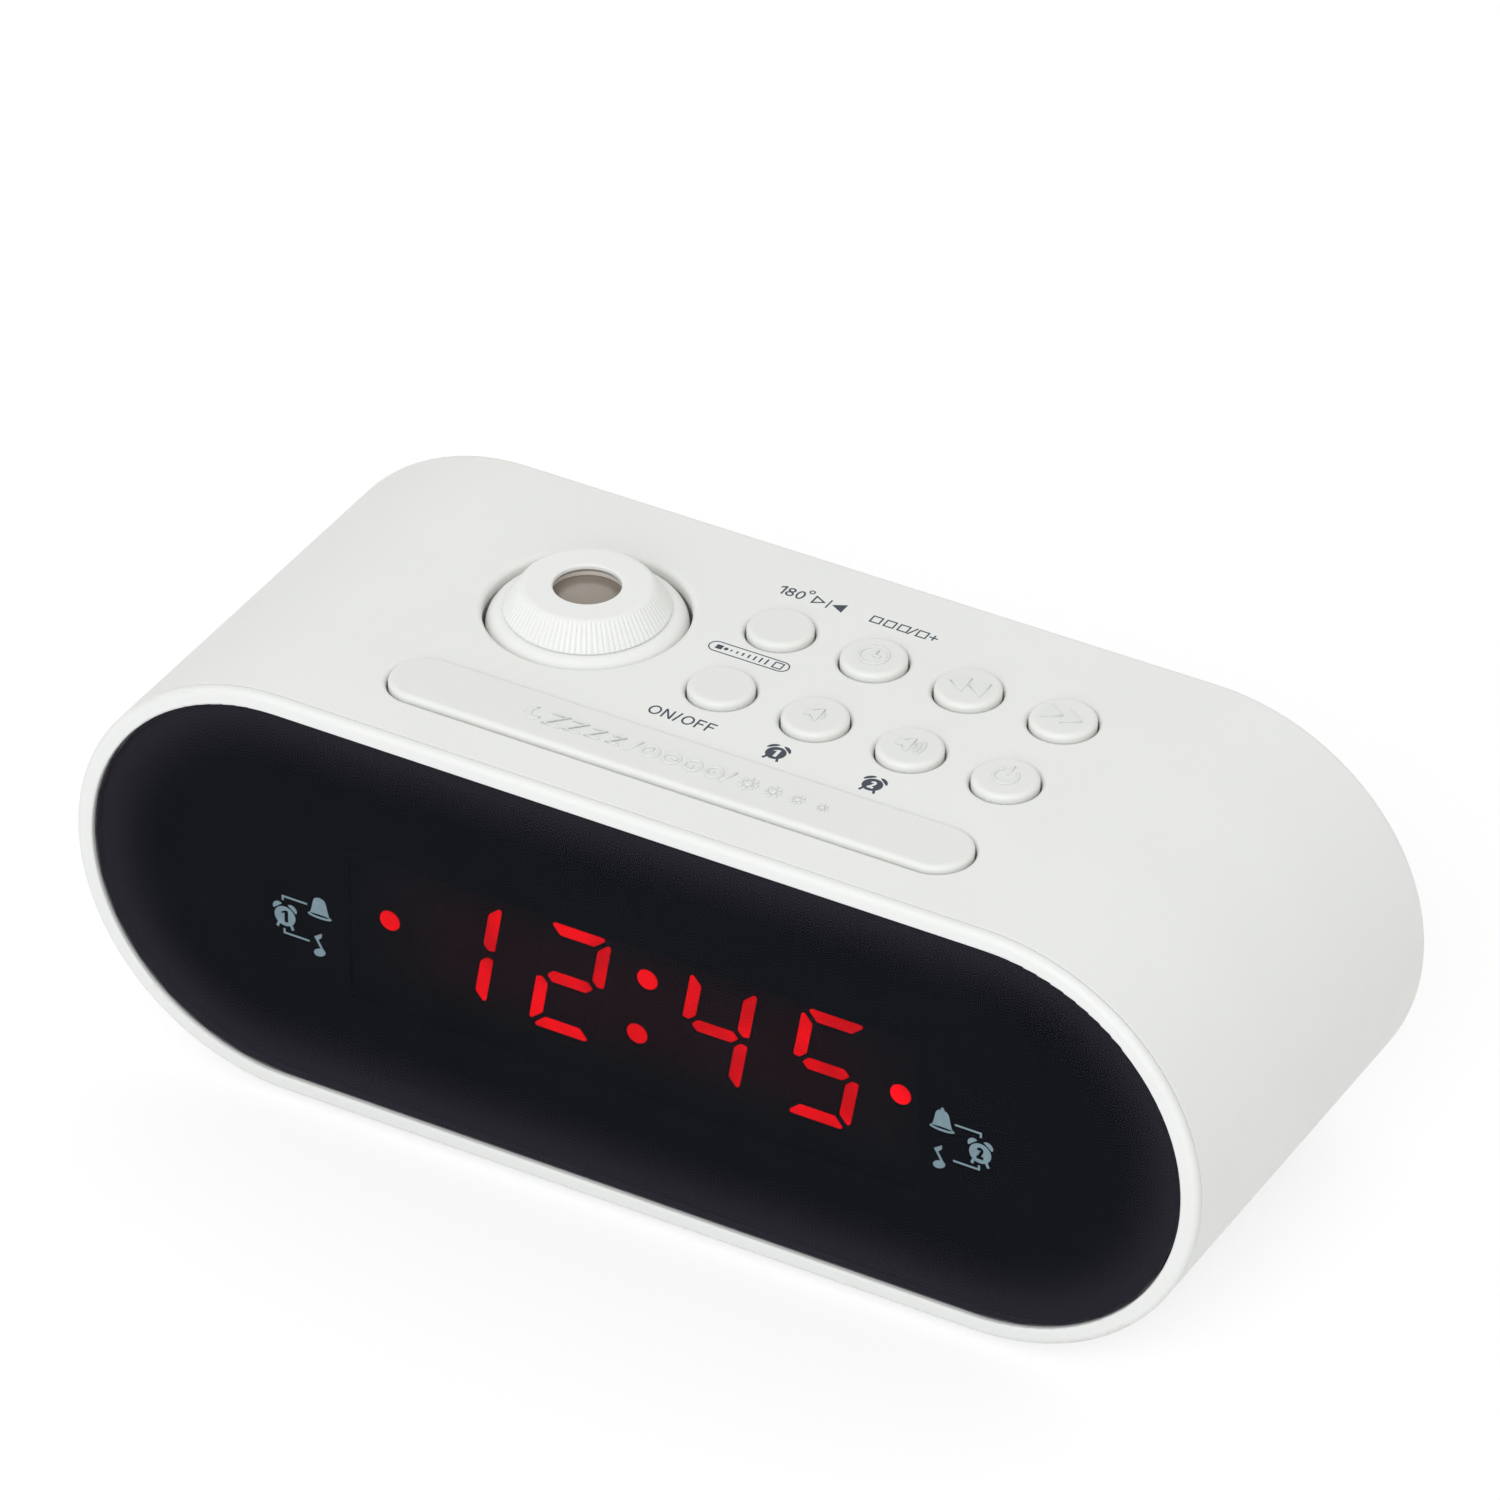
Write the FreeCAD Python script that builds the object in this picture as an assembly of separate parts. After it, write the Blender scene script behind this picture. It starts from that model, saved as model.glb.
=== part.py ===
import FreeCAD, Part
import math
import os

from FreeCAD import Rotation, Vector

# Projection alarm clock. Millimetres, X to the right, Y away from the display, Z up.
# The origin is the middle of the footprint, on the surface that the feet stand on.

# Housing
width = 200.0
shell_height = 75.4
depth = 77.5
wall = 2.5
rear_edge_round = 1.2
shell_bevel = 0.2

# Clearances
push_gap = 0.15
slide_gap = 0.2
shaft_gap = 0.05
hole_gap = 0.2
stop_gap = 0.3
seam = 0.2
pocket_gap = 0.05

# How far a cutting tool reaches past the surface it opens
over = 1.0

# Rubber feet
foot_stand = 1.2
foot_radius = 5.0
foot_pocket = 0.6
foot_bevel = 0.3
foot_side_inset = 10.3
foot_end_inset = 11.75

# Front bezel and display lens
rim_depth = 1.5
rim_width = 2.95
rim_round = 1.1
rim_inner_round = 0.4
lens_recess = 0.4
lens_thickness = 2.0
lens_gap = 0.17
lens_edge_round = 0.5
ledge_width = 3.5
ledge_thickness = 2.0
rebate = 1.2
skirt_reach = 5.75

# Display frame and LED module
frame_thickness = 1.5
display_drop = 2.25
module_width = 108.0
module_height = 33.0
module_thickness = 8.0
window_margin = 1.5
display_board_width = 126.0
display_board_height = 38.0
board_thickness = 1.6
display_post_x = 58.0
display_post_z = 13.0
frame_screw_side_inset = 2.3

# Digits
digit_height = 21.0
digit_width = 11.8
digit_inner_x = 12.97
digit_outer_x = 32.62
digit_slant = math.radians(9.5)
stroke = 2.15
stroke_gap = 0.5
stroke_corner = 0.85
stroke_round = 0.25
stroke_depth = 0.8
dot_radius = 1.8
colon_rise = 5.5
alarm_dot_x = 45.7

# Rear cover
cover_thickness = 2.5
cover_boss_angle = math.radians(60)
cover_boss_inset = 5.2
cover_boss_radius = 3.5
cover_boss_length = 12.0
screw_recess = 1.5

# Screws
screw_radius = 1.2
screw_head_radius = 2.2
screw_head_height = 1.2
screw_slot_length = 3.0
screw_slot_width = 0.55
screw_slot_depth = 0.6
cover_screw_length = 8.0
board_screw_length = 5.0
frame_screw_length = 1.8
post_radius = 3.0

# Keys on the top
first_key_x = -3.7
key_pitch = 16.7
front_row_from_front = 37.2
back_row_from_front = 55.9
key_radius = 5.35
key_gap = 0.3
key_rise = 1.0
key_round = 0.8
key_travel = 0.9
key_skin = 1.6
flange_reach = 1.25
flange_thickness = 1.0
stem_radius = 1.6
hole_round = 0.9

# Snooze bar
snooze_left = -50.4
snooze_right = 51.7
snooze_from_front = 16.2
snooze_radius = 5.85
snooze_rise = 0.8
snooze_travel = 0.8
snooze_switch_inset = 17.5
collar_radius = 4.0

# Key board and its switches
key_board_drop = 13.0
switch_size = 6.0
switch_height = 3.4
plunger_radius = 1.7
plunger_height = 0.4
touch_gap = 0.05
key_board_margin = 5.5
key_board_side = 6.35
board_corner = 1.0
front_post_left = 2.3
front_post_right = 8.1
front_post_drop = 10.0

# Projector
projector_x = -33.0
projector_from_front = 46.2
projector_hole_radius = 16.6
head_radius = 16.1
head_ball_radius = 16.4
head_shoulder = 3.0
head_pivot_drop = 5.0
head_depth = 16.0
head_rise = 0.05
head_bore_radius = 9.2
web_drop = 8.0
web_thickness = 1.2
head_cavity_radius = 10.3
trunnion_radius = 1.5
trunnion_reach = 19.6
socket_gap = 0.5
socket_wall = 3.1
socket_depth = 10.0
socket_lug_angles = (40, 140, 220, 320)
socket_boss_length = 3.0
lug_thickness = 2.0

# Focus ring and optics
ring_top_rise = 4.6
ring_base_rise = 0.12
ring_top_radius = 10.5
ring_base_radius = 13.6
ring_top_round = 1.5
ring_base_round = 0.3
lens_opening_radius = 5.45
opening_round = 0.35
opening_skin = 0.8
rib_count = 90
rib_groove_depth = 0.2
sleeve_wall = 1.5
sleeve_drop = 5.0
barrel_wall = 0.7
barrel_rise = 3.0
barrel_drop = 5.5
barrel_lip = 1.0
barrel_lip_thickness = 0.6
objective_thickness = 3.0
objective_sag = 0.9
condenser_radius = 7.0
condenser_thickness = 2.4
slide_length = 12.0
slide_width = 10.0
slide_thickness = 1.1
slide_window = 7.0
head_base_thickness = 1.4
projector_board_thickness = 1.2
projector_led_radius = 2.5
projector_led_height = 1.5

# Battery bay, cells and door
cell_radius = 5.2
cell_length = 44.5
cell_nub_radius = 1.9
cell_nub_length = 1.2
cell_gap = 0.35
spring_length = 2.6
spring_thickness = 0.4
spring_width = 6.0
spring_height = 8.0
spring_crown = 2.0
contact_thickness = 0.5
contact_size = 9.0
bay_wall = 1.5
bay_setback = 4.4
door_thickness = 2.2
door_side = 1.6
tongue_reach = 1.2
tongue_thickness = 0.8
tongue_rise = 0.8
grip_count = 4
grip_pitch = 2.4
grip_depth = 0.5

# Main board, power inlet and other parts on the rear cover
main_board_side_inset = 12.0
main_board_right = 28.0
main_board_low = 19.0
main_board_high = 52.0
main_board_standoff = 12.65
board_post_inset = 5.5
chip_gap = 3.0
chip_size = 14.0
chip_thickness = 1.4
capacitor_count = 3
capacitor_inset = 16.0
capacitor_pitch = 12.0
capacitor_radius = 4.0
capacitor_height = 9.0
jack_side_inset = 38.0
jack_z = 34.0
jack_body_width = 9.0
jack_body_height = 11.0
jack_nose_radius = 4.0
jack_nose_length = 2.5
jack_bore_radius = 2.8
jack_bore_depth = 9.5
jack_pin_radius = 1.0
jack_pin_recess = 0.5

# Speaker
speaker_side_inset = 38.0
speaker_radius = 20.0
speaker_rim = 1.5
speaker_depth = 10.5
speaker_wall = 1.0
magnet_radius = 11.0
magnet_thickness = 6.0
cone_thickness = 0.5
cone_throat_radius = 6.0
cone_throat_depth = 6.2
locating_ring_wall = 1.2
locating_ring_height = 3.0
grille_radius = 16.0
grille_slot = 2.0
grille_pitch = 4.0

# Places that follow from the sizes above
half_flat = (width - shell_height) / 2
top = foot_stand + shell_height
mid_z = foot_stand + shell_height / 2
front = -depth / 2
back = depth / 2
ceiling = top - wall
floor_inside = foot_stand + wall
rim_back = front + rim_depth
shell_front = rim_back + seam
lens_front = front + lens_recess
ledge_front = lens_front + lens_thickness
ledge_back = ledge_front + ledge_thickness
skirt_end = front + skirt_reach
frame_back = ledge_back + frame_thickness
module_front = frame_back + stop_gap
module_back = module_front + module_thickness
display_z = mid_z - display_drop
frame_screw_x = half_flat - frame_screw_side_inset
foot_x = half_flat - foot_side_inset
foot_y = back - foot_end_inset
cover_front = back - cover_thickness
cover_boss_reach = shell_height / 2 - cover_boss_inset
speaker_x = width / 2 - speaker_side_inset
jack_x = jack_side_inset - width / 2
front_row_y = front + front_row_from_front
back_row_y = front + back_row_from_front
snooze_y = front + snooze_from_front
projector_y = front + projector_from_front
key_board_top = top - key_board_drop
key_board_low = key_board_top - board_thickness
flange_top = ceiling - stop_gap
flange_low = flange_top - flange_thickness
key_hole_radius = key_radius + key_gap
plunger_top = key_board_top + switch_height + plunger_height
socket_inner_radius = head_ball_radius + socket_gap
socket_outer_radius = socket_inner_radius + socket_wall
pivot_z = top - head_pivot_drop
main_board_left = main_board_side_inset - width / 2
main_board_back = cover_front - main_board_standoff
main_board_front = main_board_back - board_thickness
first_capacitor_x = main_board_left + capacitor_inset
last_capacitor_x = first_capacitor_x + (capacitor_count - 1) * capacitor_pitch
chip_left = last_capacitor_x + capacitor_radius + chip_gap
sleeve_radius = head_bore_radius - shaft_gap
barrel_radius = sleeve_radius - sleeve_wall - shaft_gap
objective_radius = barrel_radius - barrel_wall - pocket_gap
bay_length = cell_length + spring_length + 2 * contact_thickness + slide_gap
bay_width = 4 * cell_radius + 3 * cell_gap
bay_back = cover_front - bay_setback
bay_front = bay_back - bay_width
cell_low = foot_stand + door_thickness + cell_gap
bay_top = cell_low + 2 * cell_radius + cell_gap
door_half = bay_length / 2 + door_side
pilot_radius = screw_radius + pocket_gap
screw_hole_radius = screw_radius + hole_gap


def unit(vector):
    """The same direction with a length of one."""
    return vector.multiply(1 / vector.Length)


def outline(points, place):
    """Closed wire through (a, b) points. A third number rounds that corner."""
    starts, ends, edges = [], [], []
    count = len(points)
    for index, point in enumerate(points):
        corner = place(point[0], point[1])
        rounding = point[2] if len(point) > 2 else 0
        if not rounding:
            starts.append(corner)
            ends.append(corner)
            continue
        before = place(*points[index - 1][:2])
        after = place(*points[(index + 1) % count][:2])
        towards_before = unit(before - corner)
        towards_after = unit(after - corner)
        half_angle = towards_before.getAngle(towards_after) / 2
        reach = rounding / math.tan(half_angle)
        inward = unit(towards_before + towards_after)
        middle = corner + inward * (rounding / math.sin(half_angle) - rounding)
        starts.append(corner + towards_before * reach)
        ends.append(corner + towards_after * reach)
        edges.append(Part.Arc(starts[-1], middle, ends[-1]).toShape())
    for index in range(count):
        here, there = ends[index], starts[(index + 1) % count]
        if (there - here).Length > 1e-6:
            edges.append(Part.LineSegment(here, there).toShape())
    return Part.Wire(Part.__sortEdges__(edges))


def turned(points, base, axis=Vector(0, 0, 1)):
    """Solid of revolution of (radius, height) points, with heights along the axis from the base."""
    profile = Part.Face(outline(points, lambda radius, height: Vector(radius, 0, height)))
    solid = profile.revolve(Vector(0, 0, 0), Vector(0, 0, 1), 360)
    solid.Placement = FreeCAD.Placement(base, Rotation(Vector(0, 0, 1), axis))
    return solid


def pill(points, left, right, y):
    """Turned shape of (radius, z) points, stretched along X between two centres."""
    parts = [turned(points, Vector(left, y, 0)), turned(points, Vector(right, y, 0))]
    for side in (1, -1):
        face = Part.Face(outline(points, lambda radius, z: Vector(left, y + side * radius, z)))
        parts.append(face.extrude(Vector(right - left, 0, 0)))
    return parts[0].fuse(parts[1:]).removeSplitter()


def prism(points, low, high):
    """Upright prism of an (x, y) outline."""
    return Part.Face(outline(points, lambda x, y: Vector(x, y, low))).extrude(Vector(0, 0, high - low))


def plate(points, near, far):
    """Prism along Y of an (x, z) outline."""
    return Part.Face(outline(points, lambda x, z: Vector(x, near, z))).extrude(Vector(0, far - near, 0))


def block(x, y, z):
    """Box between three pairs of limits."""
    return Part.makeBox(x[1] - x[0], y[1] - y[0], z[1] - z[0], Vector(x[0], y[0], z[0]))


def rod(radius, start, end):
    """Cylinder between two points."""
    return Part.makeCylinder(radius, (end - start).Length, start, end - start)


def along_y(radius, x, z, near, far):
    """Cylinder that lies along Y."""
    return rod(radius, Vector(x, near, z), Vector(x, far, z))


def upright(radius, x, y, low, high):
    """Cylinder that stands along Z."""
    return rod(radius, Vector(x, y, low), Vector(x, y, high))


def inset_prism(inset, near, far):
    """Prism along Y of the housing's outline, drawn in by a distance. Its ends are full rounds."""
    radius = shell_height / 2 - inset
    half = half_flat
    edges = [
        Part.LineSegment(Vector(-half, near, mid_z + radius), Vector(half, near, mid_z + radius)),
        Part.Arc(
            Vector(half, near, mid_z + radius),
            Vector(half + radius, near, mid_z),
            Vector(half, near, mid_z - radius),
        ),
        Part.LineSegment(Vector(half, near, mid_z - radius), Vector(-half, near, mid_z - radius)),
        Part.Arc(
            Vector(-half, near, mid_z - radius),
            Vector(-half - radius, near, mid_z),
            Vector(-half, near, mid_z + radius),
        ),
    ]
    face = Part.Face(Part.Wire([edge.toShape() for edge in edges]))
    return face.extrude(Vector(0, far - near, 0))


def inset_of(edge):
    """How far an edge's middle lies inside the housing's outline."""
    middle = edge.valueAt((edge.FirstParameter + edge.LastParameter) / 2)
    beyond = max(abs(middle.x) - half_flat, 0)
    return shell_height / 2 - math.hypot(beyond, middle.z - mid_z)


def round_edges(shape, y, inset, radius):
    """Fillet the edges that lie in one plane across Y, at one inset from the housing's outline."""
    chosen = []
    for edge in shape.Edges:
        in_plane = max(abs(vertex.Y - y) for vertex in edge.Vertexes) < 1e-4
        if in_plane and abs(inset_of(edge) - inset) < 1e-3:
            chosen.append(edge)
    return shape.makeFillet(radius, chosen)


def screw(seat, direction, length):
    """Pan-head screw. The seat is where the head's underside rests; direction is where the tip points."""
    body = turned(
        [
            (0, -screw_head_height),
            (screw_head_radius, -screw_head_height, screw_head_height / 2),
            (screw_head_radius, 0),
            (screw_radius, 0),
            (screw_radius, length - screw_radius),
            (0, length),
        ],
        seat,
        direction,
    )
    slot_sides = (screw_slot_length, screw_slot_width)
    for long_side, short_side in (slot_sides, slot_sides[::-1]):
        corner = Vector(-long_side / 2, -short_side / 2, -screw_head_height - over)
        slot = Part.makeBox(long_side, short_side, over + screw_slot_depth, corner)
        slot.Placement = FreeCAD.Placement(seat, Rotation(Vector(0, 0, 1), direction))
        body = body.cut(slot)
    return body


def flared_hole_profile(radius):
    """Half section of a hole through the top wall, with a soft upper edge."""
    return [
        (0, ceiling - over),
        (radius, ceiling - over),
        (radius, top, hole_round),
        (radius + 2 * hole_round, top),
        (radius + 2 * hole_round, top + over),
        (0, top + over),
    ]


def cap_profile(radius, rise):
    """Half section of a key cap or bar: rounded top edge, and a flange that the top wall holds down."""
    return [
        (0, flange_low),
        (radius + flange_reach, flange_low),
        (radius + flange_reach, flange_top),
        (radius, flange_top),
        (radius, top + rise, key_round),
        (0, top + rise),
    ]


def hollow_profile(radius, rise):
    """Half section of the hollow under a key cap or bar."""
    return [
        (0, flange_low - over),
        (radius - key_skin, flange_low - over),
        (radius - key_skin, top + rise - key_skin),
        (0, top + rise - key_skin),
    ]


# The places of the keys: column and row
key_columns = [first_key_x + index * key_pitch for index in range(4)]
key_places = {
    "key_projection": (key_columns[0], front_row_y),
    "key_volume_down": (key_columns[1], front_row_y),
    "key_volume_up": (key_columns[2], front_row_y),
    "key_power": (key_columns[3], front_row_y),
    "key_flip": (key_columns[0], back_row_y),
    "key_clock": (key_columns[1], back_row_y),
    "key_back": (key_columns[2], back_row_y),
    "key_forward": (key_columns[3], back_row_y),
}
snooze_switch_x = (snooze_left + snooze_switch_inset, snooze_right - snooze_switch_inset)
switch_places = list(key_places.values()) + [(x, snooze_y) for x in snooze_switch_x]
between_rows = (front_row_y + back_row_y) / 2
key_board_posts = [
    (key_columns[0] - front_post_left, front_row_y - front_post_drop),
    (key_columns[3] + front_post_right, front_row_y - front_post_drop),
    (key_columns[0] + key_pitch / 2, between_rows),
    (key_columns[2] + key_pitch / 2, between_rows),
]
foot_places = [(x, y) for x in (-foot_x, foot_x) for y in (-foot_y, foot_y)]
cover_screw_places = [
    (
        side * (half_flat + cover_boss_reach * math.cos(cover_boss_angle)),
        mid_z + rise * cover_boss_reach * math.sin(cover_boss_angle),
    )
    for side in (-1, 1)
    for rise in (-1, 1)
]
board_post_places = [
    (x, z)
    for x in (main_board_left + board_post_inset, main_board_right - board_post_inset)
    for z in (main_board_low + board_post_inset, main_board_high - board_post_inset)
]
display_post_places = [
    (x, display_z + z)
    for x in (-display_post_x, display_post_x)
    for z in (-display_post_z, display_post_z)
]
frame_screw_inset = rim_width + ledge_width / 2
frame_screw_places = [
    (x, mid_z + rise * (shell_height / 2 - frame_screw_inset))
    for x in (-frame_screw_x, 0, frame_screw_x)
    for rise in (-1, 1)
]
lug_reach = socket_outer_radius + post_radius
lug_places = [
    (
        projector_x + lug_reach * math.cos(math.radians(angle)),
        projector_y + lug_reach * math.sin(math.radians(angle)),
    )
    for angle in socket_lug_angles
]


def front_bezel():
    """Ring round the display: a rounded rim, a skirt that enters the shell, and a ledge for the lens."""
    rim = round_edges(inset_prism(0, front, rim_back), front, 0, rim_round)
    skirt = inset_prism(wall - rebate + push_gap, rim_back, skirt_end)
    ring = rim.fuse(skirt)
    ring = ring.cut(inset_prism(rim_width, front - over, ledge_front))
    ring = ring.cut(inset_prism(rim_width, ledge_back, skirt_end + over))
    ring = ring.cut(inset_prism(rim_width + ledge_width, ledge_front - over, ledge_back + over))
    for x, z in frame_screw_places:
        ring = ring.cut(along_y(pilot_radius, x, z, ledge_front + pocket_gap, ledge_back + over))
    return round_edges(ring.removeSplitter(), front, rim_width, rim_inner_round)


def display_lens():
    """Smoked panel with softened front edges."""
    inset = rim_width + lens_gap
    lens = inset_prism(inset, lens_front, ledge_front)
    return round_edges(lens, lens_front, inset, lens_edge_round)


def display_frame():
    """Black frame behind the ledge, with a window for the digits and four posts for the board."""
    body = inset_prism(rim_width + push_gap, ledge_back, frame_back)
    half_window = module_width / 2 - window_margin
    half_height = module_height / 2 - window_margin / 4
    body = body.cut(
        block(
            (-half_window, half_window),
            (ledge_back - over, frame_back + over),
            (display_z - half_height, display_z + half_height),
        )
    )
    for x, z in display_post_places:
        body = body.fuse(along_y(post_radius, x, z, frame_back, module_back))
        body = body.cut(along_y(pilot_radius, x, z, module_back - board_screw_length, module_back + over))
    for x, z in frame_screw_places:
        body = body.cut(along_y(screw_hole_radius, x, z, ledge_back - over, frame_back + over))
    return body.removeSplitter()


def frame_screws():
    """Short screws that hold the display frame to the bezel's ledge."""
    length = frame_screw_length + frame_thickness
    seats = [Vector(x, frame_back, z) for x, z in frame_screw_places]
    return Part.makeCompound([screw(seat, Vector(0, -1, 0), length) for seat in seats])


# Segment names in the usual order: a top, b and c right, d bottom, e and f left, g middle
lit_by_digit = {
    -digit_outer_x: "bc",
    -digit_inner_x: "abged",
    digit_inner_x: "fgbc",
    digit_outer_x: "afgcd",
}


def segment_outline(name):
    """Outline of one stroke of an upright digit, about the digit's middle."""
    half_w = digit_width / 2
    half_h = digit_height / 2
    gap = stroke_gap / math.sqrt(2)
    corner = stroke_corner
    if name == "g":
        tip = half_w - stroke / 2 - 2 * gap
        flat = tip - stroke / 2
        return [
            (-tip, 0),
            (-flat, stroke / 2),
            (flat, stroke / 2),
            (tip, 0),
            (flat, -stroke / 2),
            (-flat, -stroke / 2),
        ]
    if name in "ad":
        side = 1 if name == "a" else -1
        outer = half_w - corner - 2 * gap
        points = [
            (-outer, half_h),
            (outer, half_h),
            (outer + corner / 2, half_h - corner / 2),
            (outer + corner - stroke, half_h - stroke),
            (-outer - corner + stroke, half_h - stroke),
            (-outer - corner / 2, half_h - corner / 2),
        ]
        return [(x, side * z) for x, z in points]
    across = 1 if name in "bc" else -1
    upward = 1 if name in "bf" else -1
    upper = half_h - corner - 2 * gap
    points = [
        (half_w, upper),
        (half_w, stroke / 4 + gap),
        (half_w - stroke / 2, 2 * gap),
        (half_w - stroke, stroke / 2 + 2 * gap),
        (half_w - stroke, upper + corner - stroke),
        (half_w - corner / 2, upper + corner / 2),
    ]
    return [(across * x, upward * z) for x, z in points]


def segment(name, digit_x, grow):
    """One slanted stroke of a digit. A grown copy cuts its pocket."""
    slope = math.tan(digit_slant)
    wire = outline(
        [(digit_x + x + z * slope, display_z + z, stroke_round) for x, z in segment_outline(name)],
        lambda x, z: Vector(x, module_front, z),
    )
    if grow:
        wire = wire.makeOffset2D(grow, 2)
    return Part.Face(wire).extrude(Vector(0, stroke_depth + grow, 0))


def display_dots(grow):
    """The colon and the two alarm dots."""
    slope = math.tan(digit_slant)
    places = [(-alarm_dot_x, 0), (alarm_dot_x, 0)]
    places += [(rise * slope, rise) for rise in (-colon_rise, colon_rise)]
    return [
        along_y(dot_radius + grow, x, display_z + z, module_front, module_front + stroke_depth + grow)
        for x, z in places
    ]


def lit_strokes(grow=0):
    """Every glowing stroke and dot."""
    strokes = [segment(name, x, grow) for x, names in lit_by_digit.items() for name in names]
    return strokes + display_dots(grow)


def dark_strokes(grow=0):
    """The strokes that are off at 12:45."""
    return [
        segment(name, x, grow)
        for x, names in lit_by_digit.items()
        for name in "abcdefg"
        if name not in names
    ]


def lit_segments():
    return Part.makeCompound(lit_strokes())


def unlit_segments():
    return Part.makeCompound(dark_strokes())


def led_module():
    """Black block that holds the strokes of the digits in shallow pockets."""
    body = block(
        (-module_width / 2, module_width / 2),
        (module_front, module_back),
        (display_z - module_height / 2, display_z + module_height / 2),
    )
    return body.cut(lit_strokes(pocket_gap) + dark_strokes(pocket_gap))


def display_board():
    """Circuit board behind the digits."""
    half_width = display_board_width / 2
    half_height = display_board_height / 2
    body = block(
        (-half_width, half_width),
        (module_back, module_back + board_thickness),
        (display_z - half_height, display_z + half_height),
    )
    for x, z in display_post_places:
        hole = along_y(screw_hole_radius, x, z, module_back - over, module_back + board_thickness + over)
        body = body.cut(hole)
    return body


def display_board_screws():
    """Screws that hold the display board to the frame's posts."""
    seats = [Vector(x, module_back + board_thickness, z) for x, z in display_post_places]
    return Part.makeCompound([screw(seat, Vector(0, -1, 0), board_screw_length) for seat in seats])


def battery_bay():
    """Walls of the battery bay, standing on the shell's floor."""
    half = bay_length / 2
    outer = block(
        (-half - bay_wall, half + bay_wall),
        (bay_front - bay_wall, bay_back + bay_wall),
        (floor_inside - wall / 2, bay_top + bay_wall),
    )
    return outer.cut(block((-half, half), (bay_front, bay_back), (foot_stand, bay_top)))


def main_shell():
    """One-piece tube with the openings on top, the battery bay below and all its screw bosses."""
    body = round_edges(inset_prism(0, shell_front, back), back, 0, rear_edge_round)
    body = round_edges(body, shell_front, 0, shell_bevel)
    body = body.cut(inset_prism(wall, shell_front - over, back + over))
    body = body.cut(inset_prism(wall - rebate, shell_front - over, skirt_end + slide_gap))
    bosses = [battery_bay()]
    pilots = []
    for x, z in cover_screw_places:
        bosses.append(along_y(cover_boss_radius, x, z, cover_front - cover_boss_length, cover_front))
        pilots.append(along_y(pilot_radius, x, z, cover_front - cover_screw_length, cover_front + over))
    for x, y in key_board_posts:
        bosses.append(upright(post_radius - hole_gap, x, y, key_board_top, ceiling + wall / 2))
        pilots.append(upright(pilot_radius, x, y, key_board_top - over, key_board_top + board_screw_length))
    for x, y in lug_places:
        low = ceiling - socket_boss_length
        bosses.append(upright(post_radius, x, y, low, ceiling + wall / 2))
        pilots.append(upright(pilot_radius, x, y, low - over, low + board_screw_length - lug_thickness))
    body = body.fuse(bosses)

    openings = [turned(flared_hole_profile(key_hole_radius), Vector(x, y, 0)) for x, y in key_places.values()]
    openings.append(turned(flared_hole_profile(projector_hole_radius), Vector(projector_x, projector_y, 0)))
    slot_ends = (snooze_left + snooze_radius, snooze_right - snooze_radius)
    openings.append(pill(flared_hole_profile(snooze_radius + key_gap), *slot_ends, snooze_y))
    for x, y in foot_places:
        openings.append(upright(foot_radius + push_gap, x, y, foot_stand - over, foot_stand + foot_pocket))
    door_way = (bay_front, back + over)
    openings.append(block((-door_half, door_half), door_way, (foot_stand - over, floor_inside)))
    tongue_half = door_half + tongue_reach
    tongue_low = foot_stand + tongue_rise
    openings.append(
        block(
            (-tongue_half, tongue_half),
            door_way,
            (tongue_low - slide_gap, tongue_low + tongue_thickness + slide_gap),
        )
    )
    return body.cut(openings + pilots).removeSplitter()


def rubber_feet():
    """Four pads, seated in shallow pockets of the shell's underside."""
    profile = [(0, 0), (foot_radius, 0, foot_bevel), (foot_radius, foot_stand + foot_pocket)]
    profile.append((0, foot_stand + foot_pocket))
    return Part.makeCompound([turned(profile, Vector(x, y, 0)) for x, y in foot_places])


def battery_door():
    """Flush door of the battery bay. Its side tongues run in grooves of the shell's floor."""
    half = door_half - slide_gap
    near = bay_front + slide_gap
    body = block((-half, half), (near, back), (foot_stand, foot_stand + door_thickness))
    low_rear = [
        edge
        for edge in body.Edges
        if abs(edge.BoundBox.YMin - back) < 1e-4 and abs(edge.BoundBox.ZMax - foot_stand) < 1e-4
    ]
    body = body.makeFillet(rear_edge_round, low_rear)
    tongue_half = half + tongue_reach
    tongue_low = foot_stand + tongue_rise
    tongues = block(
        (-tongue_half, tongue_half),
        (near, back - rear_edge_round),
        (tongue_low, tongue_low + tongue_thickness),
    )
    body = body.fuse(tongues)
    for index in range(grip_count):
        y = near + grip_pitch * (index + 2)
        groove = block(
            (-half / 2, half / 2), (y, y + grip_pitch / 2), (foot_stand - over, foot_stand + grip_depth)
        )
        body = body.cut(groove)
    return body.removeSplitter()


def cell_rows():
    """The y of each cell and the side that its raised contact faces."""
    first = bay_front + cell_gap + cell_radius
    return ((first, 1), (first + 2 * cell_radius + cell_gap, -1))


def battery_cells():
    """Two cylindrical cells that lie side by side, head to tail."""
    shoulder = cell_length - cell_nub_length
    cells = []
    for y, side in cell_rows():
        profile = [
            (0, 0),
            (cell_radius, 0, push_gap),
            (cell_radius, shoulder, push_gap),
            (cell_nub_radius, shoulder),
            (cell_nub_radius, cell_length),
            (0, cell_length),
        ]
        start = bay_length / 2 - contact_thickness - spring_length
        base = Vector(-side * start, y, cell_low + cell_radius)
        cells.append(turned(profile, base, Vector(side, 0, 0)))
    return Part.makeCompound(cells)


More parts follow.
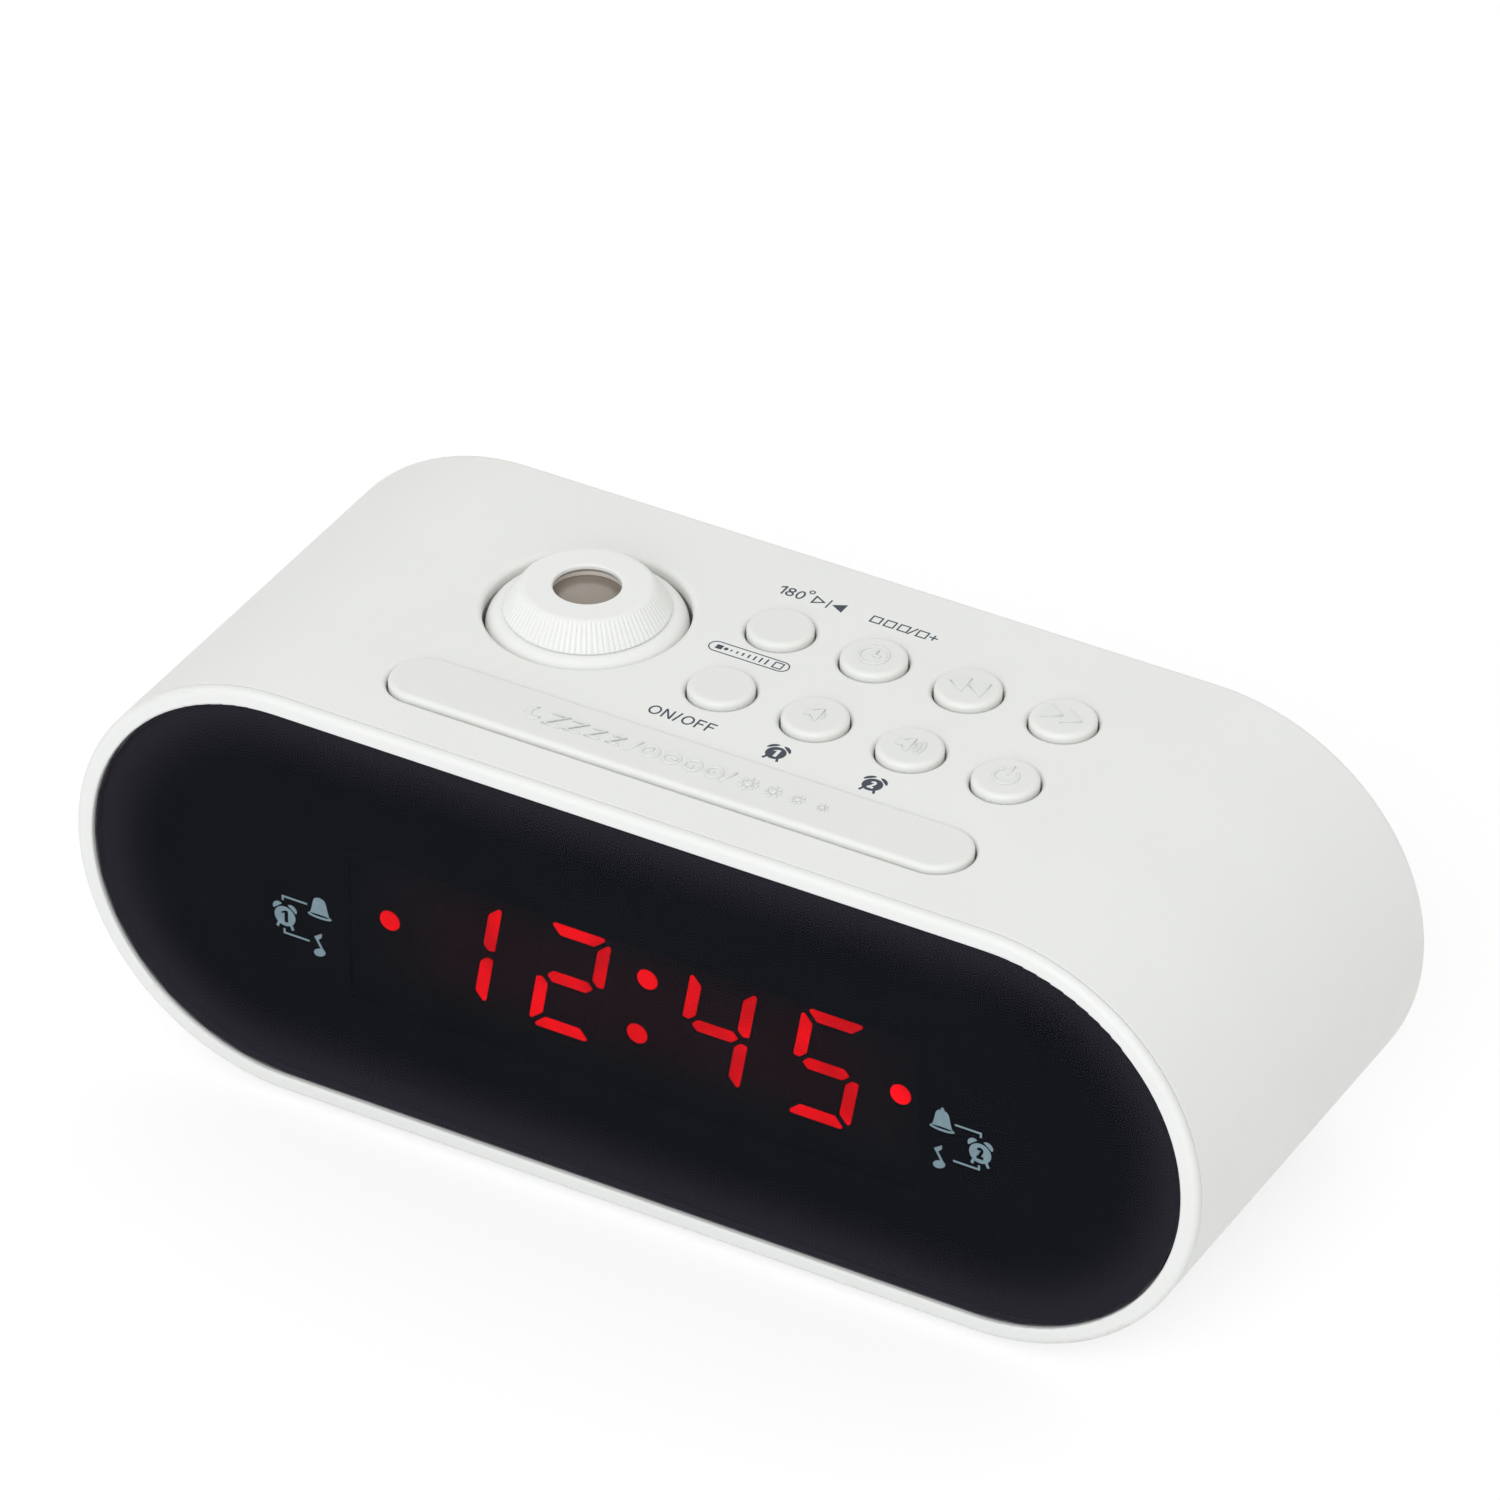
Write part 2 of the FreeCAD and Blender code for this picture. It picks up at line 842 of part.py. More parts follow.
def battery_contacts():
    """Sheet-metal contact plates at both ends of the bay."""
    plates = []
    for y, _ in cell_rows():
        for side in (-1, 1):
            outer = side * (bay_length / 2)
            inner = side * (bay_length / 2 - contact_thickness)
            z = cell_low + cell_radius
            half = contact_size / 2
            limits = (min(outer, inner), max(outer, inner))
            plates.append(block(limits, (y - half, y + half), (z - half, z + half)))
    return Part.makeCompound(plates)


def battery_springs():
    """A bent leaf spring at the flat end of each cell."""
    springs = []
    z = cell_low + cell_radius
    reach = spring_length - 2 * pocket_gap
    foot = spring_height / 2
    crown = spring_crown / 2
    inner = reach - spring_thickness
    for y, side in cell_rows():
        wall_face = side * (contact_thickness + pocket_gap - bay_length / 2)
        points = [
            (0, -foot),
            (reach, -crown),
            (reach, crown),
            (0, foot),
            (0, foot - spring_thickness),
            (inner, crown - spring_thickness),
            (inner, spring_thickness - crown),
            (0, spring_thickness - foot),
        ]
        placed = [(wall_face + side * x, z + rise) for x, rise in points]
        springs.append(plate(placed, y - spring_width / 2, y + spring_width / 2))
    return Part.makeCompound(springs)


def rear_cover():
    """Back plate with the speaker grille, the inlet's hole and the posts of the main board."""
    body = inset_prism(wall + push_gap, cover_front, back)
    for x, z in board_post_places:
        body = body.fuse(along_y(post_radius, x, z, main_board_back, cover_front))
    ring_inner = speaker_radius + slide_gap
    ring_front = cover_front - locating_ring_height
    ring = along_y(ring_inner + locating_ring_wall, speaker_x, mid_z, ring_front, cover_front)
    body = body.fuse(ring.cut(along_y(ring_inner, speaker_x, mid_z, ring_front, cover_front)))
    cuts = [along_y(jack_nose_radius + push_gap, jack_x, jack_z, cover_front - over, back + over)]
    for x, z in board_post_places:
        cuts.append(along_y(pilot_radius, x, z, main_board_back - over, main_board_back + board_screw_length))
    for x, z in cover_screw_places:
        cuts.append(along_y(screw_hole_radius, x, z, cover_front - over, back + over))
        cuts.append(along_y(screw_head_radius + hole_gap, x, z, back - screw_recess, back + over))
    steps = int(grille_radius / grille_pitch - 0.5)
    for index in range(-steps, steps + 1):
        x = index * grille_pitch
        half = math.sqrt(grille_radius**2 - x**2)
        centre = speaker_x + x
        rounding = grille_slot / 2 - pocket_gap
        outline_points = [
            (centre - grille_slot / 2, mid_z - half, rounding),
            (centre + grille_slot / 2, mid_z - half, rounding),
            (centre + grille_slot / 2, mid_z + half, rounding),
            (centre - grille_slot / 2, mid_z + half, rounding),
        ]
        cuts.append(plate(outline_points, cover_front - over, back + over))
    return body.cut(cuts).removeSplitter()


def cover_screws():
    """Screws that hold the rear cover to the shell's bosses."""
    seats = [Vector(x, back - screw_recess, z) for x, z in cover_screw_places]
    return Part.makeCompound([screw(seat, Vector(0, -1, 0), cover_screw_length) for seat in seats])


def main_board():
    """Upright circuit board on the rear cover's posts."""
    body = block(
        (main_board_left, main_board_right),
        (main_board_front, main_board_back),
        (main_board_low, main_board_high),
    )
    for x, z in board_post_places:
        body = body.cut(along_y(screw_hole_radius, x, z, main_board_front - over, main_board_back + over))
    return body


def main_board_screws():
    """Screws that hold the main board to the rear cover."""
    seats = [Vector(x, main_board_front, z) for x, z in board_post_places]
    return Part.makeCompound([screw(seat, Vector(0, 1, 0), board_screw_length) for seat in seats])


def main_chip():
    """The clock chip, on the board's front side."""
    half = chip_size / 2
    z = (main_board_low + main_board_high) / 2
    return block(
        (chip_left, chip_left + chip_size),
        (main_board_front - chip_thickness, main_board_front),
        (z - half, z + half),
    )


def capacitors():
    """Round capacitors on the board's front side."""
    z = (main_board_low + main_board_high) / 2
    profile = [
        (0, 0),
        (capacitor_radius, 0),
        (capacitor_radius, capacitor_height, hole_gap),
        (0, capacitor_height),
    ]
    places = [first_capacitor_x + index * capacitor_pitch for index in range(capacitor_count)]
    bases = [Vector(x, main_board_front, z) for x in places]
    return Part.makeCompound([turned(profile, base, Vector(0, -1, 0)) for base in bases])


def dc_jack():
    """Power inlet on the main board: a square body, a round nose in the cover, and a centre pin."""
    body_end = cover_front - slide_gap
    nose_end = body_end + jack_nose_length
    body = block(
        (jack_x - jack_body_width / 2, jack_x + jack_body_width / 2),
        (main_board_back, body_end),
        (jack_z - jack_body_height / 2, jack_z + jack_body_height / 2),
    )
    body = body.fuse(along_y(jack_nose_radius, jack_x, jack_z, body_end, nose_end))
    bore_end = nose_end - jack_bore_depth
    body = body.cut(along_y(jack_bore_radius, jack_x, jack_z, bore_end, nose_end + over))
    pin = along_y(jack_pin_radius, jack_x, jack_z, bore_end, nose_end - jack_pin_recess)
    return body.fuse(pin).removeSplitter()


def speaker_piece(points):
    """A turned part of the speaker. Heights count forwards from the rear cover's inner face."""
    return turned(points, Vector(speaker_x, cover_front, mid_z), Vector(0, -1, 0))


def speaker_frame():
    """Basket: a flange on the cover and a cone down to the magnet."""
    return speaker_piece(
        [
            (speaker_radius - speaker_rim, 0),
            (speaker_radius, 0),
            (speaker_radius, speaker_rim),
            (magnet_radius + speaker_wall, speaker_depth - speaker_rim),
            (magnet_radius + speaker_wall, speaker_depth),
            (magnet_radius / 2, speaker_depth),
            (magnet_radius / 2, speaker_depth - speaker_wall),
            (magnet_radius, speaker_depth - speaker_wall),
            (speaker_radius - speaker_rim, speaker_rim),
        ]
    )


def speaker_magnet():
    """Magnet disc on the back of the basket."""
    low = speaker_depth
    return speaker_piece(
        [
            (0, low),
            (magnet_radius, low, push_gap),
            (magnet_radius, low + magnet_thickness, push_gap),
            (0, low + magnet_thickness),
        ]
    )


def speaker_cone():
    """Thin paper cone with a dust cap, glued into the basket's flange."""
    edge = speaker_radius - speaker_rim - pocket_gap
    return speaker_piece(
        [
            (0, cone_throat_depth - speaker_rim),
            (cone_throat_radius, cone_throat_depth - cone_thickness),
            (edge, cone_thickness),
            (edge, 2 * cone_thickness),
            (cone_throat_radius, cone_throat_depth),
            (0, cone_throat_depth - speaker_rim + cone_thickness),
        ]
    )


def key_board():
    """Board under the keys. A strip of it runs under the snooze bar, in front of the projector."""
    left = snooze_left + snooze_radius
    inner_left = key_columns[0] - key_board_side
    right = key_board_posts[1][0] + post_radius
    near = snooze_y - switch_size / 2 - key_board_margin
    step = snooze_y + switch_size / 2 + key_board_margin
    far = back_row_y + switch_size / 2 + key_board_margin
    outline_points = [
        (left, near, board_corner),
        (right, near, board_corner),
        (right, far, board_corner),
        (inner_left, far, board_corner),
        (inner_left, step, board_corner),
        (left, step, board_corner),
    ]
    body = prism(outline_points, key_board_low, key_board_top)
    holes = [
        upright(screw_hole_radius, x, y, key_board_low - over, key_board_top + over)
        for x, y in key_board_posts
    ]
    return body.cut(holes)


def key_board_screws():
    """Screws that hold the key board up to the shell's posts."""
    seats = [Vector(x, y, key_board_low) for x, y in key_board_posts]
    return Part.makeCompound([screw(seat, Vector(0, 0, 1), board_screw_length) for seat in seats])


def key_switches():
    """A switch under each key and two under the bar, drawn with their plungers pushed in."""
    half = switch_size / 2
    switches = []
    for x, y in switch_places:
        body_top = key_board_top + switch_height
        body = block((x - half, x + half), (y - half, y + half), (key_board_top, body_top))
        switches.append(body.fuse(upright(plunger_radius, x, y, body_top, plunger_top)))
    return Part.makeCompound(switches)


def key_cap(x, y):
    """Round key with a flange below the top wall and a stem above its switch."""
    cap = turned(cap_profile(key_radius, key_rise), Vector(x, y, 0))
    cap = cap.cut(turned(hollow_profile(key_radius, key_rise), Vector(x, y, 0)))
    stem_low = plunger_top + key_travel + touch_gap
    return cap.fuse(upright(stem_radius, x, y, stem_low, top + key_rise - key_skin / 2)).removeSplitter()


def snooze_bar():
    """Long bar with full-round ends, hollow below, with a stem above each of its switches."""
    ends = (snooze_left + snooze_radius, snooze_right - snooze_radius)
    bar = pill(cap_profile(snooze_radius, snooze_rise), *ends, snooze_y)
    bar = bar.cut(pill(hollow_profile(snooze_radius, snooze_rise), *ends, snooze_y))
    stem_low = plunger_top + snooze_travel + touch_gap
    stem_high = top + snooze_rise - key_skin / 2
    for x in snooze_switch_x:
        bar = bar.fuse(upright(stem_radius, x, snooze_y, stem_low, stem_high))
        bar = bar.fuse(upright(collar_radius, x, snooze_y, flange_low, stem_high))
    return bar.removeSplitter()


def at_projector(points):
    """A turned part on the projector's upright axis."""
    return turned(points, Vector(projector_x, projector_y, 0))


def projector_disc(radius, low, high):
    """A plain round part on the projector's axis."""
    return upright(radius, projector_x, projector_y, low, high)


def projector_socket():
    """Ring under the top wall with two bearings for the head and three screw lugs."""
    ring_top = ceiling - hole_gap
    low = ceiling - socket_depth
    body = projector_disc(socket_outer_radius, low, ring_top)
    lug_top = ceiling - socket_boss_length
    for x, y in lug_places:
        body = body.fuse(upright(post_radius, x, y, lug_top - lug_thickness, lug_top))
        inward = Vector(projector_x - x, projector_y - y, 0)
        bridge = block((0, inward.Length), (-post_radius, post_radius), (lug_top - lug_thickness, lug_top))
        turn = Rotation(Vector(1, 0, 0), inward)
        bridge.Placement = FreeCAD.Placement(Vector(x, y, 0), turn)
        body = body.fuse(bridge)
    body = body.cut(projector_disc(socket_inner_radius, low - over, ring_top + over))
    bearing = rod(
        trunnion_radius + shaft_gap,
        Vector(projector_x - lug_reach, projector_y, pivot_z),
        Vector(projector_x + lug_reach, projector_y, pivot_z),
    )
    holes = [
        upright(screw_hole_radius, x, y, lug_top - lug_thickness - over, lug_top + over)
        for x, y in lug_places
    ]
    return body.cut([bearing] + holes).removeSplitter()


def socket_screws():
    """Screws that hold the socket to the shell's bosses."""
    seat_z = ceiling - socket_boss_length - lug_thickness
    seats = [Vector(x, y, seat_z) for x, y in lug_places]
    length = board_screw_length - pocket_gap
    return Part.makeCompound([screw(seat, Vector(0, 0, 1), length) for seat in seats])


def projector_head():
    """Ball-shaped head with a rounded shoulder, two trunnions, a bore for the focus ring and a web."""
    low = top - head_depth
    body = at_projector(
        [
            (0, low),
            (head_radius, low),
            (head_radius, top + head_rise, head_shoulder),
            (0, top + head_rise),
        ]
    )
    body = body.common(Part.makeSphere(head_ball_radius, Vector(projector_x, projector_y, pivot_z)))
    body = body.fuse(
        rod(
            trunnion_radius,
            Vector(projector_x - trunnion_reach, projector_y, pivot_z),
            Vector(projector_x + trunnion_reach, projector_y, pivot_z),
        )
    )
    web_top = top - web_drop
    half = slide_window / 2
    cuts = [
        projector_disc(head_bore_radius, web_top, top + over),
        projector_disc(head_cavity_radius, low - over, web_top - web_thickness),
        block(
            (projector_x - half, projector_x + half),
            (projector_y - half, projector_y + half),
            (low, web_top + over),
        ),
    ]
    return body.cut(cuts).removeSplitter()


def focus_ring():
    """Ribbed cone with a flat top round the lens opening. Its sleeve turns in the head's bore."""
    ring_top = top + ring_top_rise
    ring_base = top + ring_base_rise
    body = at_projector(
        [
            (lens_opening_radius, ring_top, opening_round),
            (ring_top_radius, ring_top, ring_top_round),
            (ring_base_radius, ring_base, ring_base_round),
            (sleeve_radius, ring_base),
            (sleeve_radius, top - sleeve_drop),
            (sleeve_radius - sleeve_wall, top - sleeve_drop),
            (sleeve_radius - sleeve_wall, ring_top - opening_skin),
            (lens_opening_radius, ring_top - opening_skin),
        ]
    )
    return body.cut(rib_grooves(ring_top, ring_base))


def rib_grooves(ring_top, ring_base):
    """V-grooves that run down the cone and leave the ribs between them."""
    run = ring_base_radius - ring_top_radius
    drop = ring_top - ring_base
    slope = math.atan2(drop, run)
    length = math.hypot(run, drop)
    side = rib_groove_depth * math.sqrt(2)
    fade = math.sqrt(2 * ring_top_round * rib_groove_depth)
    start = max(0, ring_top_round * math.tan(slope / 2) - fade)
    grooves = []
    for index in range(rib_count):
        bar = Part.makeBox(length - start - ring_base_round, side, side, Vector(0, -side / 2, -side / 2))
        bar.rotate(Vector(0, 0, 0), Vector(1, 0, 0), 45)
        bar.translate(Vector(start, 0, 0))
        bar.rotate(Vector(0, 0, 0), Vector(0, 1, 0), math.degrees(slope))
        bar.translate(Vector(ring_top_radius, 0, ring_top))
        bar.rotate(Vector(0, 0, 0), Vector(0, 0, 1), 360 * index / rib_count)
        bar.translate(Vector(projector_x, projector_y, 0))
        grooves.append(bar)
    return grooves


def lens_barrel():
    """Tube that carries the objective and slides in the focus ring's sleeve."""
    inner = barrel_radius - barrel_wall
    lip_low = top + barrel_rise - barrel_lip_thickness
    return at_projector(
        [
            (inner, top - barrel_drop),
            (barrel_radius, top - barrel_drop),
            (barrel_radius, top + barrel_rise, push_gap),
            (inner - barrel_lip, top + barrel_rise, push_gap),
            (inner - barrel_lip, lip_low),
            (inner, lip_low),
        ]
    )


def objective_lens():
    """Lens with two bulging faces. Its crown stands up in the barrel's lip."""
    ball = (objective_radius**2 + objective_sag**2) / (2 * objective_sag)
    lip_radius = barrel_radius - barrel_wall - barrel_lip
    crown = ball - math.sqrt(ball**2 - lip_radius**2)
    high = top + barrel_rise - barrel_lip_thickness + crown - pocket_gap
    centre_z = high - objective_thickness / 2
    reach = objective_thickness / 2 - ball
    lens = projector_disc(objective_radius, high - objective_thickness, high)
    for side in (-1, 1):
        centre = Vector(projector_x, projector_y, centre_z + side * reach)
        lens = lens.common(Part.makeSphere(ball, centre))
    return lens


def condenser_lens():
    """Flat-topped lens under the web, which gathers the light for the slide."""
    high = top - web_drop - web_thickness
    ball = (condenser_radius**2 + condenser_thickness**2) / (2 * condenser_thickness)
    lens = projector_disc(condenser_radius, high - condenser_thickness, high)
    return lens.common(
        Part.makeSphere(ball, Vector(projector_x, projector_y, high - condenser_thickness + ball))
    )


def lcd_slide():
    """Small glass display on the web, whose picture the lens throws on the wall."""
    low = top - web_drop
    return block(
        (projector_x - slide_length / 2, projector_x + slide_length / 2),
        (projector_y - slide_width / 2, projector_y + slide_width / 2),
        (low, low + slide_thickness),
    )


def head_base():
    """Disc that closes the head from below."""
    low = top - head_depth
    return projector_disc(head_cavity_radius - pocket_gap, low, low + head_base_thickness)


def projector_board():
    """Round board of the projector's lamp."""
    low = top - head_depth + head_base_thickness
    return projector_disc(head_cavity_radius - hole_gap, low, low + projector_board_thickness)


def projector_led():
    """Lamp of the projector: a short cylinder with a domed end."""
    low = top - head_depth + head_base_thickness + projector_board_thickness
    return at_projector(
        [
            (0, low),
            (projector_led_radius, low),
            (projector_led_radius, low + projector_led_height, projector_led_radius / 2),
            (0, low + projector_led_height),
        ]
    )


nodes = {
    "main_shell": main_shell,
    "front_bezel": front_bezel,
    "display_lens": display_lens,
    "display_frame": display_frame,
    "frame_screws": frame_screws,
    "led_module": led_module,
    "lit_segments": lit_segments,
    "unlit_segments": unlit_segments,
    "display_board": display_board,
    "display_board_screws": display_board_screws,
    "rear_cover": rear_cover,
    "cover_screws": cover_screws,
    "rubber_feet": rubber_feet,
    "battery_door": battery_door,
    "battery_cells": battery_cells,
    "battery_contacts": battery_contacts,
    "battery_springs": battery_springs,
    "main_board": main_board,
    "main_board_screws": main_board_screws,
    "main_chip": main_chip,
    "capacitors": capacitors,
    "dc_jack": dc_jack,
    "speaker_frame": speaker_frame,
    "speaker_magnet": speaker_magnet,
    "speaker_cone": speaker_cone,
    "key_board": key_board,
    "key_board_screws": key_board_screws,
    "key_switches": key_switches,
    "snooze_bar": snooze_bar,
    "projector_socket": projector_socket,
    "socket_screws": socket_screws,
    "projector_head": projector_head,
    "focus_ring": focus_ring,
    "lens_barrel": lens_barrel,
    "objective_lens": objective_lens,
    "condenser_lens": condenser_lens,
    "lcd_slide": lcd_slide,
    "head_base": head_base,
    "projector_board": projector_board,
    "projector_led": projector_led,
}

os.makedirs("parts", exist_ok=True)
for node, make in nodes.items():
    make().exportStep("parts/" + node + ".step")
for node, place in key_places.items():
    key_cap(*place).exportStep("parts/" + node + ".step")
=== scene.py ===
"""The looks of a projection alarm clock: its finishes, printed marks, moulded marks and studio."""

import math

import bpy
from bpy.props import FloatProperty, FloatVectorProperty, PointerProperty
from bpy.types import Operator, Panel, PropertyGroup
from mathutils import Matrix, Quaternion, Vector
from mathutils.geometry import delaunay_2d_cdt


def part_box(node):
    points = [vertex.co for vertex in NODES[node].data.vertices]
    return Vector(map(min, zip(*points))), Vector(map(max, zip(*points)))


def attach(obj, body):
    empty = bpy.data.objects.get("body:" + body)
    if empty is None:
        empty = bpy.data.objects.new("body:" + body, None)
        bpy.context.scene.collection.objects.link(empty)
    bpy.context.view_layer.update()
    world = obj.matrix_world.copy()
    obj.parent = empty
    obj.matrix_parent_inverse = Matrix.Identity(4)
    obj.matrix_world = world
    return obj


bl_info = {
    "name": "Projection alarm clock",
    "version": (1, 0, 0),
    "blender": (4, 5, 0),
    "location": "3D View > Sidebar > Clock",
    "description": "Dresses the clock's parts with finishes and marks, and builds its studio",
    "category": "Object",
}

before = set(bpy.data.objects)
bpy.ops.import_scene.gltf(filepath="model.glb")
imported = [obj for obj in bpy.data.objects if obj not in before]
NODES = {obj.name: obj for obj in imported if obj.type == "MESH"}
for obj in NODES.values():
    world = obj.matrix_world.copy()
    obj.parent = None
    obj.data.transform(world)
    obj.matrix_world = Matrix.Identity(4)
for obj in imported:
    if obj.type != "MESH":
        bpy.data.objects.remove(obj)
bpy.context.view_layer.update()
MM = 0.001


# Places taken from the frame, in millimetres

def corners(node):
    """The lowest and highest corner of a part."""
    low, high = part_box(node)
    return low / MM, high / MM


def middle(node):
    """The middle of a part's box."""
    low, high = corners(node)
    return (low + high) / 2


SHELL_TOP = corners("main_shell")[1].z
LENS_LOW, LENS_HIGH = corners("display_lens")
DIGITS = middle("lit_segments")


# Settings that a user would change

def colour_setting(name, description, default):
    """A colour swatch with a default in linear light."""
    return FloatVectorProperty(
        name=name, description=description, default=default, subtype="COLOR", min=0.0, max=1.0
    )


def length_setting(name, description, default):
    """A length in millimetres."""
    return FloatProperty(name=name, description=description, default=default, min=0.0, precision=3)


class ClockColours(PropertyGroup):
    """Colours of the finishes, in linear light."""

    shell: colour_setting("Shell", "Off-white of the housing", (0.825, 0.830, 0.796))
    bezel: colour_setting("Bezel", "Off-white of the front ring", (0.795, 0.800, 0.770))
    keys: colour_setting("Keys", "White of the keys and the bar", (0.790, 0.795, 0.760))
    # Painted light: made lighter than the keys' white to offset the shade in the ring's ribs
    projector: colour_setting("Projector", "White of the head and its ring", (0.845, 0.850, 0.818))
    inner: colour_setting("Inner mouldings", "White of the mouldings inside", (0.72, 0.72, 0.70))
    barrel: colour_setting("Lens barrel", "Cream of the lens barrel", (0.66, 0.60, 0.53))
    panel: colour_setting("Panel", "Tint of the smoked panel", (0.0108, 0.0119, 0.0158))
    mask: colour_setting("Mask", "Ink behind the panel", (0.0060, 0.0070, 0.0092))
    # Painted reflection: the paler ink near the panel's edge stands in for light on the lens edge
    painted_edge_reflection: colour_setting("Mask edge", "Ink near the panel's edge", (0.0465, 0.0415, 0.0530))
    # Painted reflection: the rim band's paler colour stands in for light on the panel's edge
    mask_rim: colour_setting("Mask rim", "Ink on the panel's own edge", (0.070, 0.064, 0.083))
    module: colour_setting("Display module", "Dark grey round the digits", (0.0066, 0.0078, 0.0104))
    black: colour_setting("Black plastic", "Colour of the black mouldings", (0.012, 0.012, 0.013))
    digits: colour_setting("Digits", "Glow of the lit strokes", (1.0, 0.003, 0.007))
    label_ink: colour_setting("Label ink", "Slate ink on the top", (0.045, 0.058, 0.078))
    panel_ink: colour_setting("Panel ink", "Blue-grey ink behind the panel", (0.40, 0.56, 0.63))


class ClockMarks(PropertyGroup):
    """Sizes of the marks, in millimetres."""

    ink_height: length_setting("Ink height", "How far a print stands on its face", 0.02)
    relief_height: length_setting("Relief height", "How far a moulded mark stands up", 0.24)
    relief_edge: length_setting("Relief edge", "Width of a moulded mark's soft edge", 0.17)
    line: length_setting("Line", "Width of a moulded line", 0.46)


class ClockStudio(PropertyGroup):
    """Floor, light and camera."""

    floor_size: FloatProperty(
        name="Floor size", description="Side of the floor", default=8.0, unit="LENGTH"
    )
    ambient: FloatProperty(
        name="Ambient", description="Strength of the even light from all round", default=0.77
    )
    soft_box: FloatProperty(
        name="Soft box", description="Power of the large lamp in watts", default=9.5
    )
    distance: FloatProperty(
        name="Distance", description="Camera to the aim point", default=1.60066, unit="LENGTH"
    )
    azimuth: FloatProperty(
        name="Azimuth", description="Turn of the view to the right of the front",
        default=math.radians(29.3606), subtype="ANGLE",
    )
    elevation: FloatProperty(
        name="Elevation", description="View above the horizon",
        default=math.radians(34.7046), subtype="ANGLE",
    )
    roll: FloatProperty(
        name="Roll", description="Turn of the camera about its own view",
        default=math.radians(0.3393), subtype="ANGLE",
    )
    focal_length: FloatProperty(
        name="Focal length", description="In millimetres on a 36 mm wide frame", default=244.674
    )


# Materials

# Colour sockets of the mix node, which has one set for each kind of data
MIX_SHARE, MIX_FIRST, MIX_SECOND = 0, 6, 7
MIX_RESULT = 2


class Finish:
    """A node material: a principled surface with layers of detail, measured in millimetres."""

    def __init__(self, name, colour, roughness, metallic=0.0, specular=0.5):
        self.material = bpy.data.materials.new(name)
        self.material.use_nodes = True
        self.material.diffuse_color = (*colour, 1.0)
        self.nodes = self.material.node_tree.nodes
        self.links = self.material.node_tree.links
        self.shader = self.nodes["Principled BSDF"]
        self.colour = self.solid(colour)
        self.set("Base Color", self.colour)
        self.set("Roughness", roughness)
        self.set("Metallic", metallic)
        self.set("Specular IOR Level", specular)
        self.place = self.node("ShaderNodeTexCoord").outputs["Object"]
        self.relief = None

    def node(self, kind, values=None, **settings):
        """A new node, with its settings and the values of its inputs."""
        node = self.nodes.new(kind)
        for name, value in settings.items():
            setattr(node, name, value)
        for key, value in (values or {}).items():
            self.feed(node.inputs[key], value)
        return node

    def feed(self, socket, value):
        """Links an output to a socket, or sets the socket's own value."""
        if isinstance(value, bpy.types.NodeSocket):
            self.links.new(value, socket)
        else:
            socket.default_value = value

    def set(self, name, value):
        """One value of the surface."""
        self.feed(self.shader.inputs[name], value)
        return self

    @staticmethod
    def solid(colour):
        """A colour with full alpha."""
        return (*colour[:3], 1.0)

    def scaled(self, size):
        """The place on the part, with one unit for each size in millimetres."""
        values = {0: self.place, "Scale": 1.0 / (size * MM)}
        return self.node("ShaderNodeVectorMath", values, operation="SCALE").outputs["Vector"]

    def noise(self, size, detail=2.0, stretch=(1.0, 1.0, 1.0)):
        """Cloudy noise whose features are about this many millimetres."""
        scaled = self.node(
            "ShaderNodeVectorMath", {0: self.scaled(size), 1: stretch}, operation="MULTIPLY"
        )
        values = {"Vector": scaled.outputs["Vector"], "Scale": 1.0, "Detail": detail}
        return self.node("ShaderNodeTexNoise", values).outputs["Fac"]

    def spread(self, value, low, high, start=0.3, end=0.7):
        """A value between start and end, spread from low to high."""
        values = {"Value": value, "From Min": start, "From Max": end, "To Min": low, "To Max": high}
        return self.node("ShaderNodeMapRange", values).outputs["Result"]

    def math(self, operation, first, second=0.0):
        """One sum."""
        return self.node("ShaderNodeMath", {0: first, 1: second}, operation=operation).outputs[0]

    def mix(self, share, first, second):
        """One colour laid over another."""
        values = {MIX_SHARE: share, MIX_FIRST: first, MIX_SECOND: second}
        return self.node("ShaderNodeMix", values, data_type="RGBA").outputs[MIX_RESULT]

    def paint(self, colour, share):
        """Lays a colour over what is there."""
        self.colour = self.mix(share, self.colour, self.solid(colour))
        return self.set("Base Color", self.colour)

    def mottle(self, size, amount):
        """Cloudy light and dark patches, by this share of the colour."""
        darker = [c * (1.0 - amount) for c in self.colour[:3]]
        return self.paint(darker, self.spread(self.noise(size, 3.0), 0.0, 1.0))

    def polish(self, size, low, high):
        """Roughness that wanders between two values."""
        return self.set("Roughness", self.spread(self.noise(size, 4.0), low, high))

    def grain(self, size, depth, stretch=(1.0, 1.0, 1.0)):
        """Fine grain of this size and depth."""
        values = {
            "Height": self.noise(size, 2.0, stretch),
            "Distance": depth * MM,
            "Strength": 1.0,
        }
        if self.relief is not None:
            values["Normal"] = self.relief
        self.relief = self.node("ShaderNodeBump", values).outputs["Normal"]
        return self.set("Normal", self.relief)

    def soft_edges_and_painted_highlight(self, radius, colour):
        """Rounds sharp edges for the light, and paints them in another colour: a painted highlight along
        the edges.
        """
        values = {"Radius": radius * MM}
        rounded = self.node("ShaderNodeBevel", values, samples=4).outputs["Normal"]
        facing = self.node("ShaderNodeNewGeometry").outputs["Normal"]
        alike = self.node("ShaderNodeVectorMath", {0: rounded, 1: facing}, operation="DOT_PRODUCT")
        # Painted highlight: the colour is laid on where the rounded normal turns away from the face's
        # own
        self.paint(colour, self.spread(alike.outputs["Value"], 0.6, 0.0, 0.75, 0.98))
        self.relief = rounded
        return self

    def glow(self, colour, strength):
        """Light given off by the surface."""
        self.set("Emission Color", colour)
        return self.set("Emission Strength", strength)

    def coordinate(self, axis):
        """One coordinate of the place on the part, in millimetres."""
        split = self.node("ShaderNodeSeparateXYZ", {0: self.scaled(1.0)})
        return split.outputs[axis]


